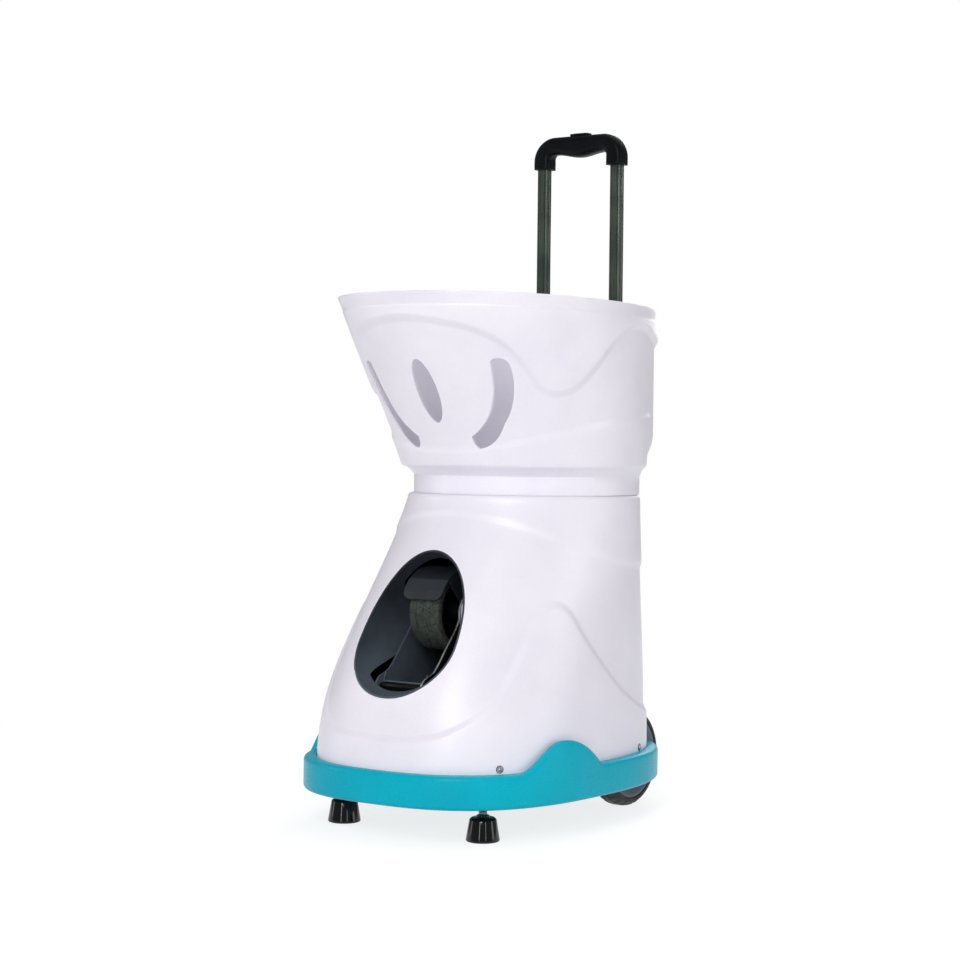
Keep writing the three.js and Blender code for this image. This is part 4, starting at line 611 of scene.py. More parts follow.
def settle(thing, body, slot, *stands_for, degrees=32):
    thing.data.shade_smooth()
    thing.data.set_sharp_from_angle(angle=math.radians(degrees))
    if stands_for:
        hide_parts(*stands_for)
    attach(thing, body)
    return thing


# What repeats: trees with named inputs, turned into plain meshes

def new_tree(name, inputs):
    tree = bpy.data.node_groups.new(name, "GeometryNodeTree")
    tree.interface.new_socket("Geometry", in_out="INPUT", socket_type="NodeSocketGeometry")
    for label, kind in inputs:
        tree.interface.new_socket(label, in_out="INPUT", socket_type="NodeSocket" + kind)
    tree.interface.new_socket("Geometry", in_out="OUTPUT", socket_type="NodeSocketGeometry")
    return tree, tree.nodes.new("NodeGroupInput").outputs, tree.nodes.new("NodeGroupOutput")


def end_tree(tree, result, exit_node, finish):
    real = add_node(tree, "GeometryNodeRealizeInstances", {"Geometry": result}).outputs[0]
    painted = add_node(tree, "GeometryNodeSetMaterial", {"Geometry": real, "Material": finish}).outputs[0]
    tree.links.new(painted, exit_node.inputs[0])
    return tree


def placed_copies_tree():
    """Copies of a shape on points, turned so that their Z faces the way the points' attribute says"""
    tree, entry, leave = new_tree("placed_copies", [
        ("Copy", "Object"), ("Size", "Float"), ("Finish", "Material")])
    copy = add_node(tree, "GeometryNodeObjectInfo", {"Object": entry["Copy"]}).outputs["Geometry"]
    facing = add_node(tree, "GeometryNodeInputNamedAttribute", {
        "Name": "facing"}, data_type="FLOAT_VECTOR").outputs[0]
    turn = add_node(tree, "FunctionNodeAlignRotationToVector", {"Vector": facing}, axis="Z").outputs[0]
    copies = add_node(tree, "GeometryNodeInstanceOnPoints", {
        "Points": entry["Geometry"], "Instance": copy, "Rotation": turn, "Scale": entry["Size"]}).outputs[0]
    return end_tree(tree, copies, leave, entry["Finish"])


def ring_of_copies_tree():
    """Copies of a shape round the X axis, each turned with its Z outwards, then moved to a place"""
    tree, entry, leave = new_tree("ring_of_copies", [
        ("Copy", "Object"), ("Count", "Int"), ("Radius", "Float"), ("Place", "Vector"),
        ("Finish", "Material")])
    copy = add_node(tree, "GeometryNodeObjectInfo", {"Object": entry["Copy"]}).outputs["Geometry"]
    wheel = add_node(tree, "GeometryNodeMeshCircle", {
        "Vertices": entry["Count"], "Radius": entry["Radius"]}).outputs[0]
    upright = add_node(tree, "GeometryNodeTransform", {
        "Geometry": wheel, "Rotation": (0, math.pi / 2, 0)}).outputs[0]
    out = add_node(tree, "GeometryNodeInputPosition").outputs[0]
    level_way = add_node(tree, "FunctionNodeAlignRotationToVector", {
        "Vector": (1.0, 0.0, 0.0)}, axis="X").outputs[0]
    turn = add_node(tree, "FunctionNodeAlignRotationToVector", {
        "Rotation": level_way, "Vector": out}, axis="Z", pivot_axis="X").outputs[0]
    copies = add_node(tree, "GeometryNodeInstanceOnPoints", {
        "Points": upright, "Instance": copy, "Rotation": turn}).outputs[0]
    moved = add_node(tree, "GeometryNodeTransform", {
        "Geometry": copies, "Translation": entry["Place"]}).outputs[0]
    return end_tree(tree, moved, leave, entry["Finish"])


def row_of_copies_tree():
    """Copies of a shape along a straight line"""
    tree, entry, leave = new_tree("row_of_copies", [
        ("Copy", "Object"), ("Count", "Int"), ("Start", "Vector"), ("Step", "Vector"),
        ("Finish", "Material")])
    copy = add_node(tree, "GeometryNodeObjectInfo", {"Object": entry["Copy"]}).outputs["Geometry"]
    line = add_node(tree, "GeometryNodeMeshLine", {
        "Count": entry["Count"], "Start Location": entry["Start"], "Offset": entry["Step"]}).outputs[0]
    copies = add_node(tree, "GeometryNodeInstanceOnPoints", {"Points": line, "Instance": copy}).outputs[0]
    return end_tree(tree, copies, leave, entry["Finish"])


def thread_tree():
    """A screw thread: a round ridge wound up a stud"""
    tree, entry, leave = new_tree("thread", [
        ("Stud Radius", "Float"), ("Pitch", "Float"), ("Turns", "Float"), ("Ridge", "Float"),
        ("Place", "Vector"), ("Finish", "Material")])
    height = add_node(tree, "ShaderNodeMath", {
        0: entry["Pitch"], 1: entry["Turns"]}, operation="MULTIPLY").outputs[0]
    spiral = add_node(tree, "GeometryNodeCurveSpiral", {
        "Resolution": 24, "Rotations": entry["Turns"], "Start Radius": entry["Stud Radius"],
        "End Radius": entry["Stud Radius"], "Height": height}).outputs[0]
    ridge = add_node(tree, "GeometryNodeCurvePrimitiveCircle", {
        "Resolution": 6, "Radius": entry["Ridge"]}).outputs[0]
    wound = add_node(tree, "GeometryNodeCurveToMesh", {
        "Curve": spiral, "Profile Curve": ridge, "Fill Caps": True}).outputs[0]
    moved = add_node(tree, "GeometryNodeTransform", {
        "Geometry": wound, "Translation": entry["Place"]}).outputs[0]
    return end_tree(tree, moved, leave, entry["Finish"])


TREES = {
    "placed_copies": placed_copies_tree(),
    "ring_of_copies": ring_of_copies_tree(),
    "row_of_copies": row_of_copies_tree(),
    "thread": thread_tree(),
}


def grow(name, tree_name, body, slot, points=((0, 0, 0),), facings=None, **values):
    """The result of a tree as a piece, without the shape it copies. Lengths in the values are metres."""
    mesh = bpy.data.meshes.new(name)
    mesh.from_pydata([Vector(point) * MM for point in points], [], [])
    if facings:
        facing = mesh.attributes.new("facing", "FLOAT_VECTOR", "POINT")
        facing.data.foreach_set("vector", [part for way in facings for part in way])
    thing = bpy.data.objects.new(name, mesh)
    bpy.context.scene.collection.objects.link(thing)
    tree = TREES[tree_name]
    step = thing.modifiers.new(tree_name, "NODES")
    step.node_group = tree
    given = {key.replace("_", " ").title(): value for key, value in values.items()}
    given["Finish"] = FINISH[slot]
    for item in tree.interface.items_tree:
        if item.in_out == "INPUT" and item.name in given:
            step[item.identifier] = given[item.name]
    bake(thing)
    if "Copy" in given:
        bpy.data.objects.remove(given["Copy"], do_unlink=True)
    return settle(thing, body, slot)


# Plan sections of the housing. Angles run from the front, positive to the +X side.

def housing_angles():
    """Closest together between 25 and 95 degrees from the front, where the waves are steepest"""
    half = [lerp(low, high, t) for low, high, count in ((0, 25, 14), (25, 95, 70), (95, 180, 36))
            for t in steps(count)[:-1]]
    whole = half + [180] + [-angle for angle in reversed(half[1:])]
    return [math.radians(angle) for angle in whole]


ANGLES = housing_angles()


def section_point(section, angle, z, proud=0.0):
    across, along = abs(math.sin(angle)), abs(math.cos(angle))
    front = math.cos(angle) > 0
    length = section["front" if front else "rear"] + proud
    power = section["front_power" if front else "rear_power"]
    reach = ((across / (section["side"] + proud)) ** power + (along / length) ** power) ** (-1 / power)
    return Vector((reach * math.sin(angle), section["centre"] - reach * math.cos(angle), z))


def body_section(z):
    down = clamp((seam_height - shoulder_round - z) / flare_height, 0, 1)
    swell = shoulder_share + (1 - shoulder_share) * math.sin(math.pi / 2 * down ** flare_curve)
    centre = lerp(seam_centre_y, foot_centre_y, swell)
    return {
        "side": lerp(seam_half_width, foot_half_width, swell),
        "front": lerp(seam_front, foot_front, swell ** front_curve),
        "rear": lerp(seam_rear_y, foot_rear_y, swell) - centre,
        "centre": centre,
        "front_power": 2 + foot_front_square * swell * swell,
        "rear_power": 2 + foot_rear_square * swell,
    }


def hopper_section(z):
    """Straight in the neck, which swells a little under its top, and flared above it"""
    up = clamp((z - neck_top) / (rim_height - neck_top), 0, 1.1)
    swell = neck_swell * clamp((z - neck_top + neck_blend) / neck_blend, 0, 1)
    if z > neck_top:
        swell = neck_swell + (1 - neck_swell) * up ** hopper_curve
    centre = lerp(neck_rear_y - neck_half_width, rim_rear_y - rim_half_length, swell)
    power = 2 + rim_square * swell
    return {
        "side": lerp(neck_half_width, rim_half_width, swell ** hopper_side_curve),
        "front": lerp(neck_half_width, rim_half_length, swell),
        "rear": lerp(neck_rear_y, rim_rear_y, swell ** hopper_rear_curve) - centre,
        "centre": centre,
        "front_power": power,
        "rear_power": power,
    }


def back_share(angle):
    return (1 - math.cos(angle)) / 2


def body_wave(angle):
    return body_wave_low + body_wave_rise * share_at(BODY_WAVE, abs(angle) / math.pi)


def hopper_wave(angle):
    return hopper_wave_low + hopper_wave_rise * share_at(HOPPER_WAVE, abs(angle) / math.pi)


def body_ridge(angle):
    return body_ridge_front - body_ridge_fall * (1 - (1 - back_share(angle)) ** body_ridge_curve)


def hopper_ridge(angle):
    return hopper_ridge_front + hopper_ridge_rise * (1 - (1 - back_share(angle)) ** hopper_ridge_curve)


def rim_at(drop):
    """Height of the rim, which falls a little to the back, less a drop"""
    def height(angle):
        y = section_point(hopper_section(rim_height), angle, 0).y
        return rim_height - rim_fall * (y - (rim_rear_y - rim_half_length)) - drop
    return height


def level(z):
    return lambda angle: z


def steepness(section_at, edge_at, angle):
    """How much further up a step reaches where its edge climbs, so that it looks equally wide all along"""
    near, most = 0.01, 3.2
    before, after = edge_at(angle - near), edge_at(angle + near)
    middle = section_at(edge_at(angle))
    gap = (section_point(middle, angle + near, 0) - section_point(middle, angle - near, 0)).length
    return min(math.hypot(1, (after - before) / gap), most)


def ring(section_at, height_at, proud):
    return [section_point(section_at(height_at(a)), a, height_at(a), proud) for a in ANGLES]


def band(section_at, low_at, high_at, proud, count, proud_top=None):
    """Rings from a lower edge up to an upper one, without the upper one"""
    top = proud if proud_top is None else proud_top
    return [ring(section_at, lambda a, t=t: lerp(low_at(a), high_at(a), t), lerp(proud, top, t))
            for t in steps(count)[:-1]]


def edge_lift(section_at, edge_at, run, share):
    return lambda a: edge_at(a) + share * run * steepness(section_at, edge_at, a)


def step_edges(section_at, edge_at, run):
    """The lower and the upper edge of a moulded step"""
    return [edge_lift(section_at, edge_at, run, way) for way in (-1, 1)]


def moulded_step(section_at, edge_at, run, below, above, count=10):
    """Rings over a rounded step in the wall"""
    return [ring(section_at, edge_lift(section_at, edge_at, run, 2 * t - 1), lerp(below, above, ease(t)))
            for t in steps(count)]


def climbing(rings):
    """Keeps each ring above the one before it, where two edges come close"""
    least = 0.05
    for lower, upper in zip(rings, rings[1:]):
        for low, high in zip(lower, upper):
            high.z = max(high.z, low.z + least)
    return rings


def round_hole(radius, z, centre_y):
    return [Vector((radius * math.sin(a), centre_y - radius * math.cos(a), z)) for a in ANGLES]


# Body shell

def body_front_y(x, z):
    section = body_section(z)
    across = min(abs(x) / section["side"], 1)
    power = section["front_power"]
    return section["centre"] - section["front"] * (1 - across ** power) ** (1 / power)


def mouth_point(angle, share=1.0, shrink=0.0):
    side = mouth_half_width * share - shrink
    tall = (mouth_rise if math.sin(angle) > 0 else mouth_drop) * share - shrink
    return side * math.cos(angle), mouth_height + tall * math.sin(angle)


def mouth_outline():
    return [mouth_point(math.tau * k / mouth_sides) for k in range(mouth_sides)]


def well_block(side, grow_by, bottom):
    """The room of a road wheel, larger by grow_by all round"""
    middle = wheel_outer_x - wheel_width / 2
    half = wheel_width / 2 + well_clearance + grow_by
    low_x, high_x = spanning(side, middle - half, middle + half)
    front = wheel_y - wheel_radius - well_clearance - grow_by
    top = 2 * wheel_radius + well_clearance + grow_by
    return block("well", (low_x, front, bottom), (high_x, tray_half_length + overrun, top))


def spine_outline(shrink):
    """Plan of the spine behind the housing, which holds the handle's rails"""
    front, rear = spine_front_y + shrink, spine_rear_y - shrink
    return rounded_rectangle(
        2 * (spine_half_width - shrink), rear - front, spine_corner - shrink, 0, (front + rear) / 2)


def panel_middle():
    low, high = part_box("rear_panel")
    return (low[2] + high[2]) / 2 / MM


def panel_outline(grow_by):
    """The recess of the rear panel, larger by grow_by all round"""
    return rounded_rectangle(
        recess_width + 2 * grow_by, recess_height + 2 * grow_by, recess_corner + grow_by, 0, panel_middle())


def rail_outline(size, spare, x):
    """Section of a handle rail, with some spare width"""
    return rounded_rectangle(size[0] + spare, size[1] + spare, tube_corner, x, handle_y)


def body_outside():
    """Rings up the outside: a raised foot below the wave, a plain wall, and a raised top above the ridge"""
    shoulder = seam_height - shoulder_round
    wave_low, wave_high = step_edges(body_section, body_wave, wave_run)
    ridge_low, ridge_high = step_edges(body_section, body_ridge, ridge_run)
    rings = band(body_section, level(foot_height), wave_low, panel_step, 12)
    rings += moulded_step(body_section, body_wave, wave_run, panel_step, 0)
    rings += band(body_section, wave_high, ridge_low, 0, 24)[1:]
    rings += moulded_step(body_section, body_ridge, ridge_run, 0, ridge_step, 8)
    rings += band(body_section, ridge_high, level(shoulder), ridge_step, 6)[1:]
    for t in steps(6):
        turn = math.pi / 2 * t
        rings.append(ring(
            body_section, level(shoulder + shoulder_round * math.sin(turn)),
            ridge_step - 2 * ridge_step * (1 - math.cos(turn))))
    return climbing(rings)


def paint_shade_inside(shell, deck):
    """Painted shade: the inside faces take the dark slate lining finish, so that little light comes back out
    through the mouth
    """
    shell.data.materials.append(FINISH["liner"])
    axis = Vector((0, (seam_centre_y + foot_centre_y) / 2, 0)) * MM
    faces_down, faces_in, above_foot = -0.5, -0.2, foot_height * 2 * MM
    for face in shell.data.polygons:
        away = face.center - axis
        away.z = 0
        under_deck = face.normal.z < faces_down and face.center.z > above_foot
        inward = face.normal.dot(away.normalized()) < faces_in and face.center.z < deck * MM
        face.material_index = 1 if under_deck or inward else 0


def body_shell():
    """A moulded wall joined to the rear spine, hollowed, and cut for the mouth, bowl, wheels and rails"""
    hole, deck = bowl_radius + bowl_wall + seat_gap, seam_height - shell_wall
    inner_top = deck - shoulder_round
    spine_drop, backing_depth, rail_spare = 0.4, 2, 1
    over = [round_hole(hole, seam_height, feed_y), round_hole(hole, deck, feed_y)]
    inside = [ring(body_section, level(deck), -shell_wall - shoulder_round)]
    inside += [ring(body_section, level(lerp(inner_top, foot_height, t)), -shell_wall) for t in steps(14)]
    shell = loft("body_shell_moulding", body_outside() + over + inside, closed=True)
    join(shell, soft_edges(prism("spine", spine_outline(0), "Z", spine_bottom, seam_height - spine_drop), 4))
    cavity = loft("cavity", [ring(body_section, level(lerp(foot_height, inner_top, t)), -shell_wall - bite)
                             for t in steps(14)])
    room = prism("slot_room", spine_outline(shell_wall), "Z", spine_bottom + shell_wall, deck - bite)
    cut(shell, cavity, room)
    recess_y = spine_rear_y - recess_depth
    backing_front, backing_rear = recess_y - recess_wall, spine_rear_y - backing_depth
    join(shell, prism("backing", panel_outline(recess_wall), "Y", backing_front, backing_rear))
    recess = prism("recess", panel_outline(0), "Y", recess_y, spine_rear_y + overrun)
    mouth = prism("mouth", mouth_outline(), "Y", -tray_half_length - overrun, seam_centre_y - seam_front)
    bowl_hole = rod("bowl_hole", hole, 0, feed_y, "Z", deck - 2 * overrun, seam_height + overrun, 96)
    wells = [well_block(side, well_wall + seat_gap, foot_height - overrun) for _, side in SIDES]
    rails = [prism("rail_hole", rail_outline(outer_tube, rail_spare, side * handle_span), "Z", deck - overrun,
                   seam_height + overrun) for _, side in SIDES]
    cut(shell, recess, mouth, bowl_hole, *wells, *rails)
    dress(shell, "chassis", "shell_white", "body_shell", degrees=38)
    # The inside of the white wall is painted slate as painted shade
    paint_shade_inside(shell, deck)


def mouth_liner():
    """The lining follows the mouth's edge, and reaches far in on the side away from the wheel motors"""
    angles = [-math.tau * k / mouth_sides for k in range(mouth_sides)]
    side_starts, side_blend = 0.7, 0.28

    def liner_ring(depth_share, shrink):
        made = []
        for angle in angles:
            beside = ease(clamp((-math.cos(angle) - side_starts) / side_blend, 0, 1))
            narrowed = 1 - lerp(1 - liner_taper, liner_side_taper, beside) * depth_share ** liner_taper_curve
            x, z = mouth_point(angle, narrowed, shrink)
            edge_x, edge_z = mouth_point(angle, 1, shrink)
            deep = lerp(lerp(liner_depth, liner_top_depth, max(math.sin(angle), 0)), liner_side_depth, beside)
            made.append(Vector((x, body_front_y(edge_x, edge_z) + lerp(liner_inset, deep, depth_share), z)))
        return made

    out = [liner_ring(t, seat_gap) for t in steps(10)]
    back = [liner_ring(t, seat_gap + liner_wall) for t in reversed(steps(10))]
    dress(loft("mouth_lining", out + back, closed=True), "chassis", "liner", "mouth_liner")


# Hopper

def quadratic(start, bend, stop, count=10):
    start, bend, stop = Vector(start), Vector(bend), Vector(stop)
    return [start.lerp(bend, t).lerp(bend.lerp(stop, t), t) for t in steps(count)[1:]]


def horn_outline(side):
    def at(point):
        return side * horn_width * point[0], lerp(horn_bottom, horn_top, point[1])
    points, last = [], at(HORN_TIP)
    for bend, stop in HORN_ARCS:
        points += quadratic(last, at(bend), at(stop))
        last = at(stop)
    return points


def lens_outline():
    middle, tall = (lens_top + lens_bottom) / 2, (lens_top - lens_bottom) / 2
    return [(lens_half_width * x, middle + tall * z) for x, z in circle(1)]


def hopper_outside():
    """Rings up the outside: neck, raised band up to the ridge, plain wall, the wave's panel and the rim"""
    wave_low, wave_high = step_edges(hopper_section, hopper_wave, wave_run)
    ridge_low, ridge_high = step_edges(hopper_section, hopper_ridge, ridge_run)
    blend_low, blend_high = neck_top - neck_blend / 2, neck_top + neck_blend / 2
    below_rim, rim_proud = rim_band + rim_band_step, panel_step - rim_band_step
    rings = band(hopper_section, level(seam_height + seat_gap), level(blend_low), -seat_gap, 4)
    rings += [ring(hopper_section, level(blend_low + neck_blend * t), lerp(-seat_gap, ridge_step, ease(t)))
              for t in steps(6)]
    rings += band(hopper_section, level(blend_high), ridge_low, ridge_step, 5)[1:]
    rings += moulded_step(hopper_section, hopper_ridge, ridge_run, ridge_step, 0, 8)
    rings += band(hopper_section, ridge_high, wave_low, 0, 16)[1:]
    rings += moulded_step(hopper_section, hopper_wave, wave_run, 0, panel_step)
    rings += band(hopper_section, wave_high, rim_at(below_rim), panel_step, 10, rim_proud)[1:]
    rings += [ring(hopper_section, rim_at(rim_band + rim_band_step * (1 - t)), lerp(rim_proud, 0, ease(t)))
              for t in steps(4)]
    rings += [ring(hopper_section, rim_at(lerp(rim_band, rim_round, t)), 0) for t in steps(4)[1:]]
    return climbing(rings)


def cheek(side):
    """A raised edge beside the handle's channel"""
    front, high = channel_front_y + channel_corner, rim_height - rim_band
    low = cheek_bottom - 4 * cheek_bevel
    outline = soften([
        (front, low), (cheek_rear_y - 3 * cheek_bevel, low), (cheek_rear_y, cheek_bottom),
        (cheek_rear_y, cheek_top), (cheek_rear_y - 2 * cheek_bevel, high), (front, high)], cheek_round, 6)
    inner, outer = spanning(side, channel_half_width, channel_half_width + cheek_width)
    return soft_edges(prism("cheek", outline, "X", inner, outer), 2.5)


def channel_block(grow_by, bottom, top):
    """The handle's channel, larger by grow_by all round"""
    rear = rim_rear_y + overrun
    width, length = 2 * (channel_half_width + grow_by), 2 * (rear - channel_front_y + grow_by)
    plan = rounded_rectangle(width, length, channel_corner + grow_by, 0, rear)
    return prism("channel", plan, "Z", bottom, top)


def hopper_shell():
    """A flared wall down to a dished floor, with a lined channel for the handle and three slots in front"""
    rim = [ring(hopper_section, rim_at(rim_round * (1 - math.sin(math.pi * t))),
                rim_round * (math.cos(math.pi * t) - 1)) for t in steps(8)[1:]]
    inside = [ring(hopper_section, lambda a, t=t: lerp(rim_at(rim_round)(a), hopper_floor, t), -hopper_wall)
              for t in steps(18)[1:]]
    floor_bottom = hopper_floor - hopper_floor_drop
    under = floor_bottom - hopper_wall
    edge = ring(hopper_section, level(hopper_floor), -2 * hopper_wall)
    throat = round_hole(hopper_mouth_radius, floor_bottom, feed_y)
    dish = [[outer.lerp(inner, t) - Vector((0, 0, hopper_floor_sag * math.sin(math.pi * t)))
             for outer, inner in zip(edge, throat)] for t in steps(8)]
    neck_inside = neck_half_width - neck_foot
    shut = [round_hole(hopper_mouth_radius, under, feed_y)]
    shut += [round_hole(neck_inside, z, seam_centre_y) for z in (under, seam_height + seat_gap)]
    shell = loft("hopper_moulding", hopper_outside() + rim + inside + dish + shut, closed=True)
    low, high = seam_height - overrun, rim_height + 2 * overrun
    core_foot, core_drop = seam_height + 1, 0.6
    core = [ring(hopper_section, lambda a, t=t: lerp(core_foot, rim_at(core_drop)(a), t), -hopper_wall / 2)
            for t in steps(24)]
    join(shell, common(channel_block(hopper_wall, low, high), loft("core", core)))
    join(shell, cheek(1), cheek(-1))
    slot_end = seam_centre_y - neck_half_width / 3
    slots = [prism("slot", outline, "Y", -tray_half_length, slot_end)
             for outline in (lens_outline(), horn_outline(1), horn_outline(-1))]
    beneath = rod("beneath", neck_inside, 0, seam_centre_y, "Z", low, under, 96)
    cut(shell, channel_block(0, low, high), beneath, *slots)
    dress(shell, "hopper", "shell_white", "hopper_shell", degrees=38)


# Base tray

def tray_point(angle, z, inset):
    section = {
        "side": tray_half_width - inset, "front": tray_half_length - inset, "rear": tray_half_length - inset,
        "centre": foot_centre_y, "front_power": tray_power, "rear_power": tray_power,
    }
    return section_point(section, angle, z)


def hump_at(angle):
    """A dome that swells out of the rim in front, and ends in a corner behind"""
    y = tray_point(angle, 0, 0).y
    front, top, rear = (hump_centre_y + share * hump_half_length for share in HUMP_SHARES)
    if y < top:
        return hump_height * ease(clamp((y - front) / (top - front), 0, 1) ** hump_curve)
    return hump_height * (1 - clamp((y - top) / (rear - top), 0, 1) ** 2)


def tray_ring(height_at, inset):
    return [tray_point(a, height_at(a), inset) for a in ANGLES]


def base_tray():
    """A rounded tray with humps, hollowed for the housing, with wheel wells, bosses and an axle hole"""
    rings = []
    for t in steps(5):
        turn = math.pi / 2 * t
        up, inset = tray_edge * (1 - math.cos(turn)), tray_edge * (1 - math.sin(turn))
        rings.append(tray_ring(level(tray_bottom + up), inset))
    for t in steps(5):
        turn = math.pi / 2 * t
        drop, inset = tray_edge * (1 - math.sin(turn)), tray_edge * (1 - math.cos(turn))
        rings.append(tray_ring(lambda a, drop=drop: tray_rim - drop + hump_at(a), inset))
    tray = loft("tray_moulding", rings)
    pocket_gap, well_inset = 1, 2
    sky, foot = tray_rim + hump_height + overrun, body_section(foot_height)
    pocket = loft("pocket", [[section_point(foot, a, z, panel_step + pocket_gap) for a in ANGLES]
                             for z in (tray_floor, sky)])
    behind = loft("behind", [tray_ring(level(z), hump_wall) for z in (tray_rim, sky)])
    cut(tray, pocket, behind)
    root = tray_floor - shell_wall
    inside = [[section_point(foot, a, z, -shell_wall - well_inset) for a in ANGLES]
              for z in (root, 2 * (wheel_radius + well_clearance))]
    walls = [common(well_block(side, well_wall, root), loft("inside", inside)) for _, side in SIDES]
    bosses = [rod("boss", boss_radius, side * foot_x, foot_y, "Z", root, tray_floor + boss_height)
              for _, side in SIDES]
    join(tray, *walls, *bosses)
    axle = rod("axle_hole", axle_radius + seat_gap, wheel_y, wheel_radius, "X",
               -wheel_outer_x, wheel_outer_x, 32)
    studs = [rod("stud_hole", stud_radius + seat_gap, side * foot_x, foot_y, "Z", tray_bottom - overrun,
                 tray_floor + stud_room, 32) for _, side in SIDES]
    cut(tray, *[well_block(side, 0, tray_bottom - overrun) for _, side in SIDES], *studs, axle)
    dress(tray, "chassis", "tray_teal", "base_tray", degrees=38)


# Feet and road wheels

def levelling_feet():
    """A rubber cup with a small neck, round a steel stud with its thread"""
    edge, bulge, neck, root, soft = 1.6, 0.6, 3, 0.6, cup_radius - cup_top_radius
    thread_inset, thread_foot, thread_spare, thread_ridge = 0.5, 3.4, 4, 0.62
    for name, side in SIDES:
        top = box_mm(f"levelling_foot_{name}")[1][2]
        outline = soften([
            (0, 0), (cup_radius - edge, 0), (cup_radius, edge),
            (cup_top_radius + bulge, cup_height - soft / 2), (cup_top_radius - soft / 2, cup_height),
            (stud_radius + neck, cup_height), (stud_radius + neck, cup_height + neck),
            (stud_radius - root, cup_height + neck), (stud_radius - root, top), (0, top)],
            1.4, 3, closed=False)
        foot = turned(f"foot_cup_{name}", outline, (side * foot_x, foot_y, 0), count=64)
        dress(foot, f"foot_{name}", "rubber_black", f"levelling_foot_{name}", degrees=30)
        grow(f"foot_thread_{name}", "thread", f"foot_{name}", "steel",
             stud_radius=(stud_radius - thread_inset) * MM, pitch=thread_pitch * MM,
             turns=(top - cup_height - thread_spare) / thread_pitch, ridge=thread_ridge * MM,
             place=(side * foot_x * MM, foot_y * MM, (cup_height + thread_foot) * MM))


def tyre(name, side):
    """Solid tyre: round shoulders, two grooves round it, and a notch in each shoulder every few degrees"""
    half, outer, inner = wheel_width / 2, wheel_radius, rim_radius + seat_gap
    side_step, count, notch, notched = 8.2, 180, 1.7, (6, 7)
    # Half the section: out from the rim or down from the tread, and in from the tyre's side
    seat = [(0, 7.5), (3, 3.2), (side_step - 0.6, 2.8), (side_step, 0)]
    shoulder = [(9, 0), (5, 1.6), (1.6, 5.5), (0.4, 9)]
    groove = [(0, 12), (1.8, 12.8), (1.8, 13.8), (0, 14.6)]
    profile = [(inner + out, deep - half) for out, deep in seat]
    profile += [(outer - down, deep - half) for down, deep in shoulder + groove]
    rows = list(range(len(profile)))
    profile += [(radius, -height) for radius, height in reversed(profile)]
    centre = Vector((side * (wheel_outer_x - half), wheel_y, wheel_radius))
    rings = []
    for row, (radius, height) in zip(rows + rows[::-1], profile):
        made = []
        for k in range(count):
            here = radius - (notch if row in notched and k % 6 in (0, 1) else 0)
            turn = math.tau * k / count
            made.append(centre + Vector((side * height, here * math.cos(turn), here * math.sin(turn))))
        rings.append(made)
    solid = loft(f"solid_tyre_{name}", rings, closed=True)
    dress(solid, f"wheel_{name}", "tyre_black", f"tyre_{name}", degrees=28)
    mark = small_rib(width=0.9, length=2.6, corner=0.4, low=-0.4, high=0.45)
    mark.data.transform(Matrix.Rotation(math.radians(90) * side, 4, "Y"))
    grow(f"tyre_ribs_{name}", "ring_of_copies", f"wheel_{name}", "tyre_black", copy=mark, count=72,
         radius=(outer - side_step) * MM,
         place=(centre.x * MM + side * half * MM, centre.y * MM, centre.z * MM))


def wheel_rim(name, side):
    """A flanged barrel, a web, a hub and six tapered spokes, which stand forward of the web"""
    half = wheel_width / 2
    centre = (side * (wheel_outer_x - half), wheel_y, wheel_radius)
    bore, flange, shoulder = axle_radius + seat_gap, rim_radius + rim_flange, rim_radius + 2.5
    lip, flange_in, shoulder_in, seat_in, face_in, dish_in = 0.6, 2.4, 3.2, 8, 3, 7
    edge = [(flange, lip), (flange, flange_in), (shoulder, shoulder_in), (rim_radius, seat_in)]
    section = [(rim_dish_radius, lip - half)] + [(radius, deep - half) for radius, deep in edge]
    section += [(radius, half - deep) for radius, deep in reversed(edge)]
    section += [(rim_radius + 3, half - lip), (rim_dish_radius + 3.4, half - face_in),
                (rim_dish_radius, half - dish_in)]
    barrel = turned(f"spoked_rim_{name}", soften(section, 1, 2), centre, "X", side, 96)
    hub_back, bevel, bevel_in, pit = 2.5, 2.5, 4, 2
    hub = turned("hub", soften([
        (bore, hub_back - half), (hub_radius, hub_back - half), (hub_radius, half - bevel_in),
        (hub_radius - bevel, half), (axle_radius + 5, half), (axle_radius + 4, half - pit),
        (bore, half - pit)], 1, 2), centre, "X", side, 64)
    web_root, web_edge, web_half = hub_radius - 2, rim_dish_radius + 2, 1.5
    web_section = [(web_root, -web_half), (web_edge, -web_half), (web_edge, web_half), (web_root, web_half)]
    web = turned("web", web_section, centre, "X", side, 64)
    spoke_root, root_half, tip_half, spoke_back, spoke_front = hub_radius - 3, 8, 4.5, half - 14, half - 5
    spokes = []
    for k in range(6):
        outline = soften([(spoke_root, -root_half), (web_edge, -tip_half), (web_edge, tip_half),
                          (spoke_root, root_half)], 1.5, 3)
        spoke = soft_edges(prism("spoke", outline, "Z", spoke_back, spoke_front), 1.6, 2)
        turn = Matrix.Rotation(math.radians(90), 4, "Y") @ Matrix.Rotation(math.tau * k / 6, 4, "Z")
        flip = Matrix.Identity(4) if side > 0 else Matrix.Rotation(math.pi, 4, "Z")
        spoke.data.transform(Matrix.Translation(Vector(centre) * MM) @ flip @ turn)
        spokes.append(spoke)
    join(barrel, web, hub, *spokes)
    axle_end, axle_start = 4.5, 40
    cut(barrel, rod("bore", bore, wheel_y, wheel_radius, "X",
                    *spanning(side, wheel_outer_x - axle_start, wheel_outer_x - axle_end), 32))
    dress(barrel, f"wheel_{name}", "grey_plastic", f"road_wheel_rim_{name}")


# Handle

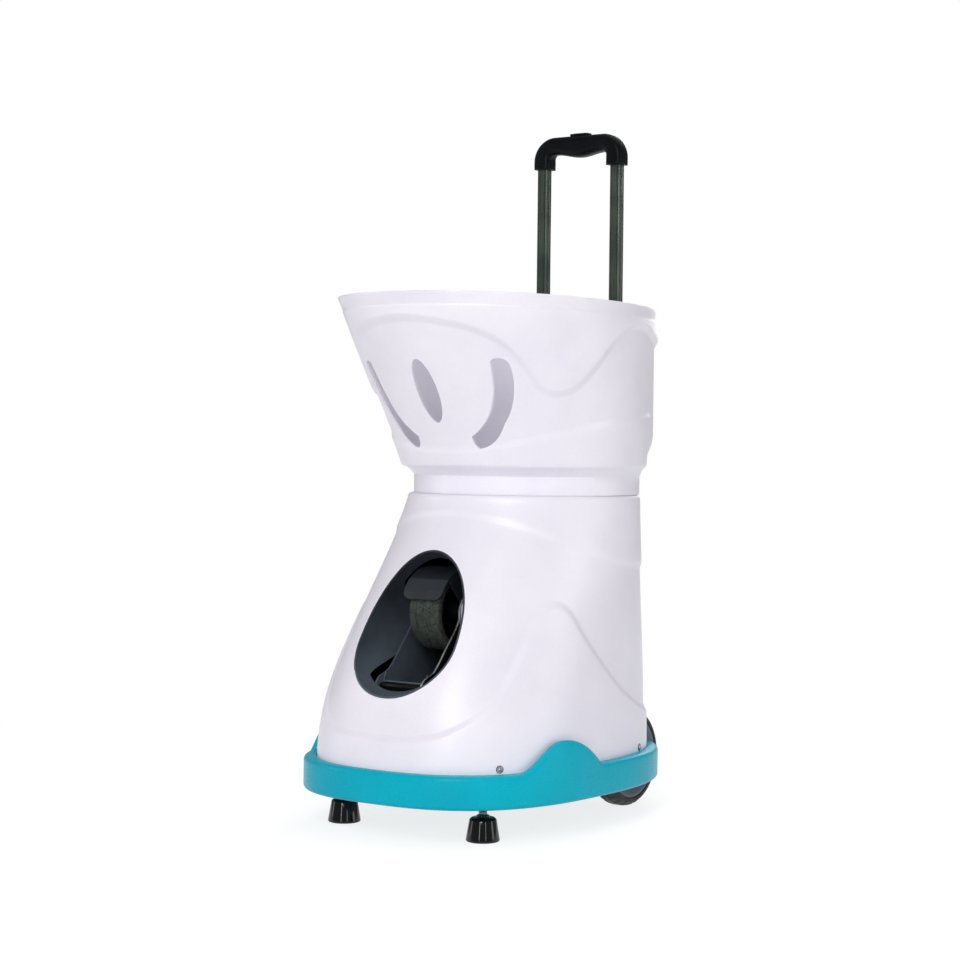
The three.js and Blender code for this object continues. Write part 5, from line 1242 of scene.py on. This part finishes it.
def fluted_loop(width, depth, corner, x, flutes, z):
    """A rounded rectangle with flutes in its sides, each given by its place, half width and depth"""
    made = []
    half_w, half_d, floor_share = width / 2, depth / 2, 0.7
    broad, narrow = (half_w - corner, half_d, flutes[0]), (half_d - corner, half_w, flutes[1])
    for k, (out_x, out_y) in enumerate(((0, -1), (1, 0), (0, 1), (-1, 0))):
        way_x, way_y = -out_y, out_x
        run, far, marks = (broad, narrow)[k % 2]
        line = [(-run, 0)]
        for middle, half, deep in marks:
            floor = half * floor_share
            line += [(middle - half, 0), (middle - floor, deep), (middle + floor, deep), (middle + half, 0)]
        line.append((run, 0))
        for along, deep in line:
            reach = far - deep
            made.append(Vector((
                x + out_x * reach + way_x * along, handle_y + out_y * reach + way_y * along, z)))
        cx = x + way_x * run + out_x * (far - corner)
        cy = handle_y + way_y * run + out_y * (far - corner)
        for t in steps(5)[1:-1]:
            turn = math.atan2(out_y, out_x) + math.pi / 2 * t
            made.append(Vector((cx + corner * math.cos(turn), cy + corner * math.sin(turn), z)))
    return made


def drawn_tube(name, size, x, low, high, flutes):
    """A tube of two walls joined at its ends: fluted outside and plain inside"""
    bare = [[(middle, half, 0) for middle, half, _ in side] for side in flutes]
    outside = [fluted_loop(*size, tube_corner, x, flutes, z) for z in (low, high)]
    inner = [edge - 2 * tube_wall for edge in size]
    inside = [fluted_loop(*inner, tube_corner / 2, x, bare, z) for z in (high, low)]
    return loft(name, outside + inside, closed=True)


def tube_collar(name, size, following, x, low, high, tube_top):
    """A bush round the top of a rail, which guides the next rail"""
    margin, seat_spare, guide_spare = 4, 0.6, 1
    outline = rounded_rectangle(size[0] + 2 * margin, size[1] + 2 * margin, tube_corner + margin, x, handle_y)
    around = soft_edges(prism(name, outline, "Z", low, high), 1.6)
    seat = prism("seat", rail_outline(size, seat_spare, x), "Z", low - overrun, tube_top + seat_gap)
    guide = prism("guide", rail_outline(following, guide_spare, x), "Z", low, high + overrun)
    return cut(around, seat, guide)


def handle_tubes():
    """Three nested rails on each side, the two drawn ones fluted, and the bushes between them"""
    fine, wide = (0.7, 0.6), (1.1, 0.8)
    fluted = ([(-5.6, *fine), (5.6, *fine)], [(-3.2, *fine), (0.2, *wide), (3.6, *fine)])
    plain = ([(0, 1.2, 0)], [(0, 1.2, 0)])
    rails = (("outer", outer_tube, "chassis", "steel", plain),
             ("middle", middle_tube, "handle_stage", "anodised", fluted),
             ("inner", inner_tube, "handle_top", "anodised", fluted))
    bushes = (("outer", outer_tube, middle_tube, "chassis"),
              ("middle", middle_tube, inner_tube, "handle_stage"))
    for name, side in SIDES:
        x = side * handle_span
        for stage, size, body, slot, marks in rails:
            low, high = box_mm(f"{stage}_tube_{name}")
            tube = drawn_tube(f"{stage}_rail_{name}", size, x, low[2], high[2], marks)
            dress(tube, body, slot, f"{stage}_tube_{name}", degrees=25)
        for stage, size, following, body in bushes:
            tube_top = box_mm(f"{stage}_tube_{name}")[1][2]
            foot, top = (corner[2] for corner in box_mm(f"{stage}_collar_{name}"))
            collar = tube_collar(f"{stage}_bush_{name}", size, following, x, foot, top - seat_gap, tube_top)
            dress(collar, body, "black_plastic", f"{stage}_collar_{name}")


def grip_section(x, z, turn, thick):
    """A rounded section of the grip, across a line that turns from upright to level. The bar is rounder."""
    out = Vector((-math.cos(turn), 0, math.sin(turn)))
    outline = rounded_rectangle(thick, grip_depth, lerp(6, 10, math.sin(turn)), 0, 0, 8)
    return [Vector((x, handle_y + b, z)) + out * a for a, b in outline]


def grip_moulding():
    """The grip from one socket up, round a bend and along to the middle of the bar, and its mirror image"""
    reach, bend = grip_half_width - grip_socket / 2, grip_corner + 5
    middle = grip_bottom + grip_height - grip_bar / 2
    left = [grip_section(-reach, lerp(grip_bottom, middle - bend, t), 0, grip_socket)
            for t in (0, 0.04, 0.5, 1)]
    for t in steps(12)[1:]:
        turn = math.pi / 2 * t
        left.append(grip_section(
            -reach + bend * (1 - math.cos(turn)), middle - bend + bend * math.sin(turn), turn,
            lerp(grip_socket, grip_bar, t)))
    for t in steps(12)[1:]:
        bulge = grip_bulge * ease(t)
        left.append(grip_section(lerp(bend - reach, 0, t), middle - bulge / 2, math.pi / 2, grip_bar + bulge))
    right = [[Vector((-point.x, point.y, point.z)) for point in ring] for ring in reversed(left[:-1])]
    return soft_edges(loft("grip_moulding", left + right), 1.2, 2)


def grip_cuffs():
    """A raised ring round the foot of each of the grip's sockets"""
    proud, corner, foot, height, rail_spare, hole_top = 0.8, 9, 0.4, 5, 3, 9
    cuffs = []
    for _, side in SIDES:
        outline = rounded_rectangle(grip_socket + 2 * proud, grip_depth + 2 * proud, corner,
                                    side * (grip_half_width - grip_socket / 2), handle_y)
        cuff = prism("cuff", outline, "Z", grip_bottom + foot, grip_bottom + foot + height)
        around_rail = rail_outline(inner_tube, rail_spare, side * handle_span)
        hole = prism("hole", around_rail, "Z", grip_bottom - overrun, grip_bottom + hole_top)
        cuffs.append(cut(soft_edges(cuff, 1.2, 2), hole))
    join(cuffs[0], cuffs[1])
    cuffs[0].name = "grip_cuffs"
    dress(cuffs[0], "handle_top", "black_plastic")


def handle_grip():
    """The grip with the rails' sockets, and its thumb button with ribs across the top"""
    button_low, button_high = (corner[2] for corner in box_mm("release_button"))
    socket_depth, socket_spare, well_gap, well_drop, button_drop = 12, 0.6, 0.3, 3.3, 0.6
    grip = grip_moulding()
    sockets = [prism("socket", rail_outline(inner_tube, socket_spare, side * handle_span), "Z",
                     grip_bottom - overrun, grip_bottom + socket_depth) for _, side in SIDES]
    well = prism("well", rounded_rectangle(button_width + 2 * well_gap, button_depth + 2 * well_gap,
                                           button_corner + well_gap, 0, handle_y),
                 "Z", button_low - well_drop, grip_bottom + grip_height + overrun)
    cut(grip, *sockets, well)
    dress(grip, "handle_top", "black_plastic", "handle_grip", degrees=40)
    button = prism("thumb_button", rounded_rectangle(button_width, button_depth, button_corner, 0, handle_y),
                   "Z", button_low, button_high - button_drop)
    dress(soft_edges(button, 1.3), "release_button", "black_plastic", "release_button")
    ribs, rib_pitch = 7, 3
    rib = small_rib(width=1.2, length=10, corner=0.5, low=-0.4, high=0.6)
    grow("thumb_ribs", "row_of_copies", "release_button", "black_plastic",
         copy=rib, count=ribs, step=(rib_pitch * MM, 0, 0),
         start=(-rib_pitch * (ribs - 1) / 2 * MM, handle_y * MM, (button_high - button_drop) * MM))
    grip_cuffs()


# Feeder and chute

def feed_bowl():
    """A round bowl whose flange rests on the deck, with the hole that drops the ball and the shaft's hole"""
    outer, seat, edge_wall = bowl_radius + bowl_wall, seam_height + seat_gap, 3
    bottom, top = bowl_floor - bowl_bottom_wall, seat + edge_wall
    outline = soften([
        (0, bottom), (outer, bottom), (outer, seat), (outer + bowl_flange, seat), (outer + bowl_flange, top),
        (bowl_radius, top), (bowl_radius, bowl_floor), (0, bowl_floor)], 1.2, 3, closed=False)
    bowl = turned("feed_bowl_moulding", outline, (0, feed_y, 0), count=120)
    low, high = bowl_floor - 2 * overrun, bowl_floor + overrun
    cut(bowl, rod("drop", chute_bore / 2, 0, feed_y - pocket_pitch, "Z", low, high, 64),
        rod("shaft", shaft_hole, 0, feed_y, "Z", low, high, 24))
    dress(bowl, "chassis", "black_plastic", "feeder_bowl")


def carousel():
    """A star wheel: a thick disc under a domed hub, with four pockets open to its edge"""
    low = box_mm("feed_carousel")[0][2]
    top, foot_edge, top_edge, hub_foot, hub_step, hub_top, tip = low + carousel_height, 1, 2, 34, 27, 11, 17
    plate = turned("carousel_moulding", soften([
        (0, low), (carousel_radius - foot_edge, low), (carousel_radius, low + foot_edge),
        (carousel_radius, top - top_edge), (carousel_radius - top_edge, top), (hub_foot, top),
        (hub_step, top + 4), (hub_top, top + tip), (0, top + tip + 1)], 2, 4, closed=False),
        (0, feed_y, 0), count=120)
    tools = []
    bottom, sky, roof = low - overrun, top + 5 * overrun, 1.7
    for k in range(4):
        turn = math.pi / 2 * k
        x, y = pocket_pitch * math.sin(turn), feed_y - pocket_pitch * math.cos(turn)
        tools.append(rod("pocket", pocket_radius, x, y, "Z", bottom, sky, 64))
        way_out = rounded_rectangle(
            2 * pocket_mouth_half, carousel_radius, 2, 0, -pocket_pitch - carousel_radius / 2)
        gap = prism("gap", way_out, "Z", bottom, sky)
        gap.data.transform(Matrix.Translation((0, feed_y * MM, 0)) @ Matrix.Rotation(turn, 4, "Z"))
        tools.append(gap)
    cut(plate, *tools, rod("bore", shaft_hole, 0, feed_y, "Z", bottom, top - roof, 24))
    dress(soft_edges(plate, 1.4, degrees=50), "carousel", "grey_plastic", "feed_carousel", degrees=40)


def feed_chute():
    """A tube that drops from the bowl and bends forward to the throwing wheels"""
    drop_y = feed_y - pocket_pitch
    top = bowl_floor - bowl_bottom_wall - seat_gap
    knee, corner = Vector((0, drop_y, chute_knee + chute_knee_run)), Vector((0, drop_y, chute_knee))
    stop = Vector((0, chute_end_y, chute_end_height))
    route = [Vector((0, drop_y, lerp(top, knee.z, t))) for t in steps(6)[:-1]]
    route += [knee] + quadratic(knee, corner, stop, 18)
    across, sides = Vector((1, 0, 0)), 56
    outside, inside = [], []
    for k, point in enumerate(route):
        way = (route[min(k + 1, len(route) - 1)] - route[max(k - 1, 0)]).normalized()
        away = way.cross(across)
        for rings, radius in ((outside, chute_bore / 2 + chute_wall), (inside, chute_bore / 2)):
            turns = [math.tau * j / sides for j in range(sides)]
            rings.append([
                point + (across * math.cos(turn) + away * math.sin(turn)) * radius for turn in turns])
    dress(loft("drop_chute", outside + inside[::-1], closed=True), "chassis", "black_plastic", "feed_chute")


# Throwing head, drawn on its own level path and then tipped up

def tip(thing):
    """Tips a piece of the head, drawn on a level path, up onto the ball's path"""
    thing.data.transform(Matrix.Scale(MM, 4) @ ON_PATH @ Matrix.Scale(1 / MM, 4))
    return thing


def smooth_loop(points, count):
    """A smooth closed curve through points"""
    made = []
    total = len(points)
    for k in range(total):
        a, b, c, d = (Vector(points[(k + step) % total]) for step in (-1, 0, 1, 2))
        first, second, third = c - a, 2 * a - 5 * b + 4 * c - d, 3 * b - a - 3 * c + d
        made += [0.5 * (2 * b + first * t + second * t * t + third * t ** 3) for t in steps(count)[:-1]]
    return made


def side_plates():
    """Sheet cut in a waisted outline. The one that shows is bright on its edges, with blackened faces; the
    far one is slate all over as painted shade.
    """
    outline = smooth_loop([(-forward * nip_to_wheel, up * nip_to_wheel) for forward, up in PLATE], 6)
    hole_places = ((0, nip_to_wheel), (0, -nip_to_wheel), (pivot_reach, 0))
    beyond, facing_side = plate_gap_half + plate_thickness + 4 * overrun, 0.9
    for name, side in SIDES:
        low, high = spanning(side, plate_gap_half, plate_gap_half + plate_thickness)
        plate = prism(f"cheek_plate_{name}", outline, "X", low, high)
        cut(plate, *[rod("hole", shaft_hole, *place, "X", -beyond, beyond, 32) for place in hole_places])
        soft_edges(plate, 0.5, 2)
        # Painted shade: the far plate takes the dark slate lining finish all over, the near one steel edges
        # and blackened faces
        for finish in (FINISH["steel"], DARK_STEEL) if side > 0 else (FINISH["liner"], FINISH["liner"]):
            plate.data.materials.append(finish)
        for face in plate.data.polygons:
            face.material_index = 1 if abs(face.normal.x) > facing_side else 0
        settle(tip(plate), "head", "steel", f"side_plate_{name}")


def throwing_wheels():
    """Treads with three grooves and toothed edges, on cast hubs with a web and six windows"""
    hub_outer, half = throw_radius - tread_thickness - seat_gap, throw_width / 2
    crown, corner, groove, groove_floor, lane = 0.3, 3.4, 1.4, 0.7, 12
    inner = hub_outer + seat_gap
    low_edge = [(inner, 0.4 - half), (throw_radius - corner, -half), (throw_radius - 1.2, 1.6 - half),
                (throw_radius - crown, 5 - half)]
    grooves = [(throw_radius - deep, middle + across) for middle in (-lane, 0, lane)
               for deep, across in ((0, -groove), (1, -groove_floor), (1, groove_floor), (0, groove))]
    profile = low_edge + grooves + [(radius, -across) for radius, across in reversed(low_edge)]
    boss, web, lip = 13, 8, 4
    spool = [(shaft_hole, -half), (boss, -half), (boss, -web), (hub_outer - lip, -6),
             (hub_outer - lip, -half), (hub_outer, -half)]
    spool += [(radius, -across) for radius, across in reversed(spool)]
    window_radius, window_reach, tooth_inset, tooth_sunk = 6.5, 27, 3, 0.6
    for name, side in (("upper", 1), ("lower", -1)):
        z = side * nip_to_wheel
        tread = turned(f"grip_tread_{name}", profile, (0, 0, z), "X", 1, 120)
        dress(tip(tread), f"throw_wheel_{name}", "tread", f"throw_tread_{name}", degrees=30)
        hub = turned(f"cast_hub_{name}", soften(spool, 1.2, 3), (0, 0, z), "X", 1, 96)
        turns = [math.tau * k / 6 for k in range(6)]
        cut(hub, *[rod("window", window_radius, window_reach * math.cos(turn),
                       z + window_reach * math.sin(turn), "X", -boss, boss, 24) for turn in turns])
        dress(tip(hub), f"throw_wheel_{name}", "black_plastic", f"throw_hub_{name}")
        centre = ON_PATH @ Vector((0, 0, z))
        for way, end in SIDES:
            tooth = small_rib(width=1.4, length=2.2, corner=0.4, low=-1.5, high=0.9)
            grow(f"tread_teeth_{name}_{way}", "ring_of_copies", f"throw_wheel_{name}", "tread",
                 copy=tooth, count=64, radius=(throw_radius - tooth_inset) * MM,
                 place=((centre.x + end * (half - tooth_sunk)) * MM, centre.y * MM, centre.z * MM))


def arc_outline(inner, outer, start, stop, count=32):
    turns = [math.radians(lerp(start, stop, t)) for t in steps(count)]
    far = [(outer * math.cos(turn), outer * math.sin(turn)) for turn in turns]
    near = [(inner * math.cos(turn), inner * math.sin(turn)) for turn in reversed(turns)]
    return far + near


def wheel_hood():
    """Cover over the upper wheel: a band with rounded front corners, flanges, and ears to its bosses.
    Angles run from straight back, over the top."""
    start, stop, flange_stop, half = 80, 187, 152, hood_half_width
    flange_depth, ear_reach, ear_start, ear_stop = 11, 14, 103, 157
    boss_radius, boss_reach, boss_turn, corner_share = 5, 19, math.radians(113), 0.8
    corner = math.degrees(hood_corner / hood_radius)
    rings = []
    for t in steps(48):
        angle = lerp(start, stop, t)
        near = clamp((angle - (stop - corner)) / corner, 0, 1)
        wide = half - hood_corner * (1 - math.sqrt(1 - near * near)) * corner_share
        turn = math.radians(angle)
        inner, outer = hood_radius - hood_wall, hood_radius
        rings.append([Vector((side * wide, radius * math.cos(turn), radius * math.sin(turn)))
                      for side, radius in ((-1, inner), (-1, outer), (1, outer), (1, inner))])
    cover = loft("fender_moulding", rings)
    flange = arc_outline(hood_radius - flange_depth, hood_radius - 1, start, flange_stop)
    ear = arc_outline(ear_reach, hood_radius - 2, ear_start, ear_stop)
    boss_y, boss_z = boss_reach * math.cos(boss_turn), boss_reach * math.sin(boss_turn)
    parts = []
    for _, side in SIDES:
        low, high = spanning(side, half, half - hood_wall)
        parts += [prism("flange", flange, "X", low, high), prism("ear", ear, "X", low, high)]
        low, high = spanning(side, half - seat_gap, plate_gap_half - seat_gap)
        parts.append(rod("boss", boss_radius, boss_y, boss_z, "X", low, high, 24))
    join(cover, *parts)
    soft_edges(cover, 0.7, 2, degrees=50)
    cover.data.transform(Matrix.Translation((0, 0, nip_to_wheel * MM)))
    dress(tip(cover), "head", "liner", "wheel_hood", degrees=40)
    cover.data.materials[0] = FINISH["hood"]


# Rear panel

def power_key(z):
    """A round key with a slightly dished face"""
    low, high = (corner[1] for corner in box_mm("power_button"))
    dish_radius, edge_drop, dish_drop = 6, 0.7, 0.9
    outline = soften([(0, low), (power_radius, low), (power_radius, high), (dish_radius, high - edge_drop),
                      (0, high - dish_drop)], 0.8, 3, closed=False)
    button = turned("power_key", outline, (0, 0, 0), count=56)
    facing_back = Matrix.Rotation(-math.pi / 2, 4, "X")
    button.data.transform(Matrix.Translation((power_x * MM, 0, z * MM)) @ facing_back)
    dress(button, "power_button", "grey_plastic", "power_button")


def socket_cover(z):
    """A rubber disc with an ear, on a pin"""
    low = box_mm("charge_cap")[0][1]
    top, below, above = low + cap_thickness, z - cap_ear_half, z + cap_ear_half
    disc = rod("socket_cover", cap_radius, socket_x, z, "Y", low, top, 56)
    outline = soften([(socket_x, below), (cap_ear_x, below), (cap_ear_x, above), (socket_x, above)], 1, 3)
    join(disc, prism("ear", outline, "Y", low, top))
    soft_edges(disc, 0.7)
    join(disc, rod("pin", cap_pin_radius, cap_pin_x, low + cap_pin_radius, "Z", below, above, 28))
    dress(disc, "charge_cap", "rubber_black", "charge_cap")


def rear_panel():
    """The plate with its two holes, the power key and the cover of the charging socket"""
    z = panel_middle()
    front, back = (corner[1] for corner in box_mm("rear_panel"))
    plate = soft_edges(prism("connection_panel", panel_outline(-seat_gap), "Y", front, back), 1)
    cut(plate, *[rod("hole", radius, x, z, "Y", front - overrun, back + overrun, 40)
                 for radius, x in ((power_hole, power_x), (socket_hole, socket_x))])
    dress(plate, "chassis", "black_plastic", "rear_panel")
    power_key(z)
    socket_cover(z)


# The other solids keep their shape, with merged faces and softened edges

KEPT = {
    "chassis": ["wheel_axle", "handle_bracket", "feed_motor", "turntable_bearing", "yaw_motor",
                "battery_pack", "control_box", "charge_socket"],
    "turntable": ["yaw_frame", "yaw_gear", "pivot_pin_left", "pivot_pin_right", "pitch_motor"],
    "yaw_pinion": ["yaw_pinion"],
    "pitch_pinion": ["pitch_pinion"],
    "head": ["tie_rod_1", "tie_rod_2", "tie_rod_3", "guide_trough", "throw_motor_upper", "throw_motor_lower",
             "pitch_sector"],
}


def kept_solids():
    slots = {part["node"]: part["material_slot"] for part in frame["record"]["subparts"]}
    for body, names in KEPT.items():
        for name in names:
            thing = bpy.data.objects.new(f"{name}_finished", frame["nodes"][name].data.copy())
            bpy.context.scene.collection.objects.link(thing)
            tidy(thing, merge_mm=0.01)
            work = bmesh.new()
            work.from_mesh(thing.data)
            bmesh.ops.dissolve_limit(work, angle_limit=math.radians(1), verts=work.verts, edges=work.edges)
            work.to_mesh(thing.data)
            work.free()
            soft_edges(thing, 0.5, 2, degrees=40)
            dress(thing, body, slots[name], name, degrees=30)
            if name.startswith("tie_rod"):
                thing.data.materials[0] = DARK_STEEL
            if name == "guide_trough":
                thing.data.materials[0] = FINISH["liner"]


# Screws and washers

def screw_copy(head, tall):
    """A pan head with a cross recess, standing on its washer, its face towards Z"""
    washer_top, washer_edge, slot_half, slot_top = 0.9, 0.7, 0.5, 9
    shape = turned("screw", soften([
        (0, -1), (head * 1.45, -1), (head * 1.45, washer_edge), (head * 1.05, washer_top), (head, washer_top),
        (head, washer_top + tall * 0.5), (head * 0.6, washer_top + tall), (0, washer_top + tall * 1.1)],
        0.5, 2, closed=False), (0, 0, 0), count=28)
    reach, floor = head * 0.55, washer_top + tall * 0.35
    return cut(shape, block("arm", (-reach, -slot_half, floor), (reach, slot_half, slot_top)),
               block("arm", (-slot_half, -reach, floor), (slot_half, reach, slot_top)))


def put_screws(name, body, spots, ways, head, tall):
    """Screws at places in millimetres, each with its head towards its way"""
    grow(name, "placed_copies", body, "steel", spots, ways, copy=screw_copy(head, tall), size=1.0)


def housing_spot(x, y, z):
    """The place and facing on the body's foot nearest to a place in plan"""
    near, section = 0.01, body_section(z)
    angle = min(ANGLES, key=lambda a: (section_point(section, a, z, panel_step) - Vector((x, y, z))).length)
    middle = section_point(section, angle, z)
    beside = section_point(section, angle + near, z) - middle
    above = section_point(body_section(z + 1), angle, z + 1) - middle
    away = beside.cross(above).normalized()
    outward = away if away.dot(Vector((middle.x, middle.y, 0))) > 0 else -away
    return section_point(section, angle, z, panel_step), outward


def shell_screws():
    """Screws low on the housing, in front and behind on each side, in black cups whose black is painted shade
    for the shade of a counterbore
    """
    places = ((160, -189, 102.5), (183, 116, 101.5))
    spots, ways = zip(*[housing_spot(side * x, y, z) for x, y, z in places for _, side in SIDES])
    put_screws("shell_screws", "chassis", spots, ways, head=2.8, tall=1.8)
    outer, crown_radius, inner = 5.3, 4.8, 4.5
    root, floor, rim, crown = -2, -1, 0.4, 0.7
    cup = turned("screw_cup", soften([
        (0, root), (outer, root), (outer, rim), (crown_radius, crown), (inner, rim), (inner, floor),
        (0, floor)], 0.3, 2, closed=False), (0, 0, 0), count=36)
    # The cups' black is painted shade, for the shade in the counterbore round each screw
    grow("shell_screw_cups", "placed_copies", "chassis", "black_plastic", spots, ways, copy=cup, size=1.0)


def head_screws():
    """Screws in both side plates. Their places are shares of the distance from the path to a wheel centre."""
    shares = ((-0.67, 0.52), (-0.67, -0.6), (0.56, -0.54), (0.12, 1.02), (-0.1, 1.14), (0.1, -1.04))
    face = plate_gap_half + plate_thickness
    spots = [ON_PATH @ Vector((side * face, -forward * nip_to_wheel, up * nip_to_wheel))
             for _, side in SIDES for forward, up in shares]
    ways = [(side, 0, 0) for _, side in SIDES for _ in shares]
    put_screws("plate_screws", "head", spots, ways, head=2.6, tall=1.6)


def panel_screws():
    z, back, across, up = panel_middle(), box_mm("rear_panel")[1][1], 41, 24
    spots = [(x, back, z + rise) for x in (-across, across) for rise in (-up, up)]
    put_screws("panel_screws", "chassis", spots, [(0, 1, 0)] * 4, head=2.4, tall=1.4)


def deck_screws():
    """Screws that hold the bowl's flange down, seen when the hopper is lifted off"""
    radius, first, pitch, count = bowl_radius + bowl_wall + bowl_flange + 8, 35, 58, 6
    turns = [math.radians(first + pitch * k) for k in range(count)]
    spots = [(radius * math.sin(turn), feed_y - radius * math.cos(turn), seam_height) for turn in turns]
    put_screws("deck_screws", "chassis", spots, [(0, 0, 1)] * count, head=2.6, tall=1.2)


def axle_caps():
    radius, face_radius, depth, edge, dome = 9.5, 7, 4, 1.5, 0.2
    outline = soften([
        (0, -depth), (radius, -depth), (radius, -edge), (face_radius, 0), (0, dome)], 1, 3, closed=False)
    for name, side in SIDES:
        wheel_face = (side * wheel_outer_x, wheel_y, wheel_radius)
        cap = turned(f"axle_cap_{name}", outline, wheel_face, "X", side, 40)
        dress(cap, f"wheel_{name}", "black_plastic")


body_shell()
mouth_liner()
hopper_shell()
base_tray()
levelling_feet()
for label, hand in SIDES:
    tyre(label, hand)
    wheel_rim(label, hand)
handle_tubes()
handle_grip()
feed_bowl()
carousel()
feed_chute()
side_plates()
throwing_wheels()
wheel_hood()
rear_panel()
kept_solids()
shell_screws()
head_screws()
panel_screws()
deck_screws()
axle_caps()


# Floor, lamps and camera

def rays_seen(tree, *kinds):
    """1 where a ray of one of these kinds arrives"""
    rays = add_node(tree, "ShaderNodeLightPath").outputs
    seen = rays[f"Is {kinds[0]} Ray"]
    for kind in kinds[1:]:
        seen = add_node(tree, "ShaderNodeMath", {
            0: seen, 1: rays[f"Is {kind} Ray"]}, operation="MAXIMUM").outputs[0]
    return seen


def stage():
    """A pale floor that keeps the object's shadow and turns white further out, under a white sky"""
    reach, thickness, shadow_edge, white_from = 9000, 60, 0.45, 1.3
    white, shaded, glow_share, sky_light = (1, 1, 1, 1), (0.3, 0.3, 0.3, 1), 0.8, 0.32
    floor = block("floor", (-reach, -reach, -thickness), (reach, reach, 0))
    material, tree, shader, place = finish_of("pale_floor", 0.9)
    shader.inputs["Base Color"].default_value = linear("#f2f2f2")
    flat = add_node(tree, "ShaderNodeVectorMath", {0: place, 1: (1, 1, 0)}, operation="MULTIPLY").outputs[0]
    away = add_node(tree, "ShaderNodeVectorMath", {0: flat}, operation="LENGTH").outputs["Value"]
    fade = add_node(tree, "ShaderNodeMapRange", {
        "Value": away, "From Min": shadow_edge, "From Max": white_from},
        interpolation_type="SMOOTHSTEP").outputs[0]
    dim = add_node(tree, "ShaderNodeBsdfDiffuse", {"Color": shaded}).outputs[0]
    glow, plain = (add_node(tree, "ShaderNodeEmission", {"Color": white, "Strength": strength}).outputs[0]
                   for strength in (glow_share, 1.0))
    near = add_node(tree, "ShaderNodeAddShader", {0: dim, 1: glow}).outputs[0]
    shown = add_node(tree, "ShaderNodeMixShader", {0: fade, 1: near, 2: plain}).outputs[0]
    seen = rays_seen(tree, "Camera", "Glossy", "Transmission")
    mixed = add_node(tree, "ShaderNodeMixShader", {0: seen, 1: shader.outputs[0], 2: shown}).outputs[0]
    exit_node = next(node for node in tree.nodes if node.type == "OUTPUT_MATERIAL")
    tree.links.new(mixed, exit_node.inputs["Surface"])
    floor.data.materials.append(material)

    world = bpy.data.worlds.new("studio")
    bpy.context.scene.world = world
    world.use_nodes = True
    tree = world.node_tree
    tree.nodes.clear()
    seen = rays_seen(tree, "Camera", "Transmission")
    strength = add_node(tree, "ShaderNodeMapRange", {
        "Value": seen, "To Min": sky_light, "To Max": 1.0}).outputs[0]
    sky = add_node(tree, "ShaderNodeBackground", {"Color": white, "Strength": strength}).outputs[0]
    add_node(tree, "ShaderNodeOutputWorld", {"Surface": sky})


def lamps():
    """Soft lamps all round, and two narrow low ones that draw bright lines on the feet, in metres"""
    middle, low = 0.45, 0.3
    for name, place, aim_height, width, height, power in (
            ("key", (1.15, -2.75, 1.8), middle, 1.1, 2.0, 51),
            ("right_side", (2.9, 1.1, 1.1), middle, 0.8, 2.2, 16),
            ("left_side", (-2.7, -1.6, 1.1), middle, 0.8, 2.2, 10),
            ("top", (0.2, 0.6, 3.2), middle, 1.8, 1.8, 15),
            ("back", (-0.9, 2.9, 1.6), middle, 1.8, 1.6, 24),
            ("low_front_strip", (0.75, -3.1, 0.6), low, 0.2, 0.9, 5),
            ("low_right_strip", (2.67, -1.77, 0.6), low, 0.14, 0.9, 3)):
        data = bpy.data.lights.new(name, "AREA")
        data.shape = "RECTANGLE"
        data.size, data.size_y, data.energy = width, height, power
        made = bpy.data.objects.new(name, data)
        made.location = place
        made.rotation_euler = (Vector((0, 0, aim_height)) - Vector(place)).to_track_quat("-Z", "Y").to_euler()
        bpy.context.scene.collection.objects.link(made)


def camera():
    """The photograph's view: level, 35 degrees round to the machine's left, rolled by less than a degree"""
    turn, roll = math.radians(35.1), math.radians(0.657)
    distance, height = 3254, 548.8
    lens_mm, sensor_mm, picture = 81.9, 36, 960
    right_px, up_px = 46.9, 42.6
    data = bpy.data.cameras.new("camera")
    data.lens, data.sensor_width = lens_mm, sensor_mm
    data.shift_x, data.shift_y = -right_px / picture, -up_px / picture
    made = bpy.data.objects.new("camera", data)
    place = Vector((distance * math.sin(turn), seam_centre_y - distance * math.cos(turn), height)) * MM
    upright = Matrix.Rotation(math.pi / 2, 4, "X")
    facing = Matrix.Rotation(turn, 4, "Z") @ upright @ Matrix.Rotation(roll, 4, "Z")
    made.matrix_world = Matrix.Translation(place) @ facing
    bpy.context.scene.collection.objects.link(made)
    bpy.context.scene.camera = made


stage()
lamps()
camera()
bpy.context.scene.view_settings.view_transform = "Standard"
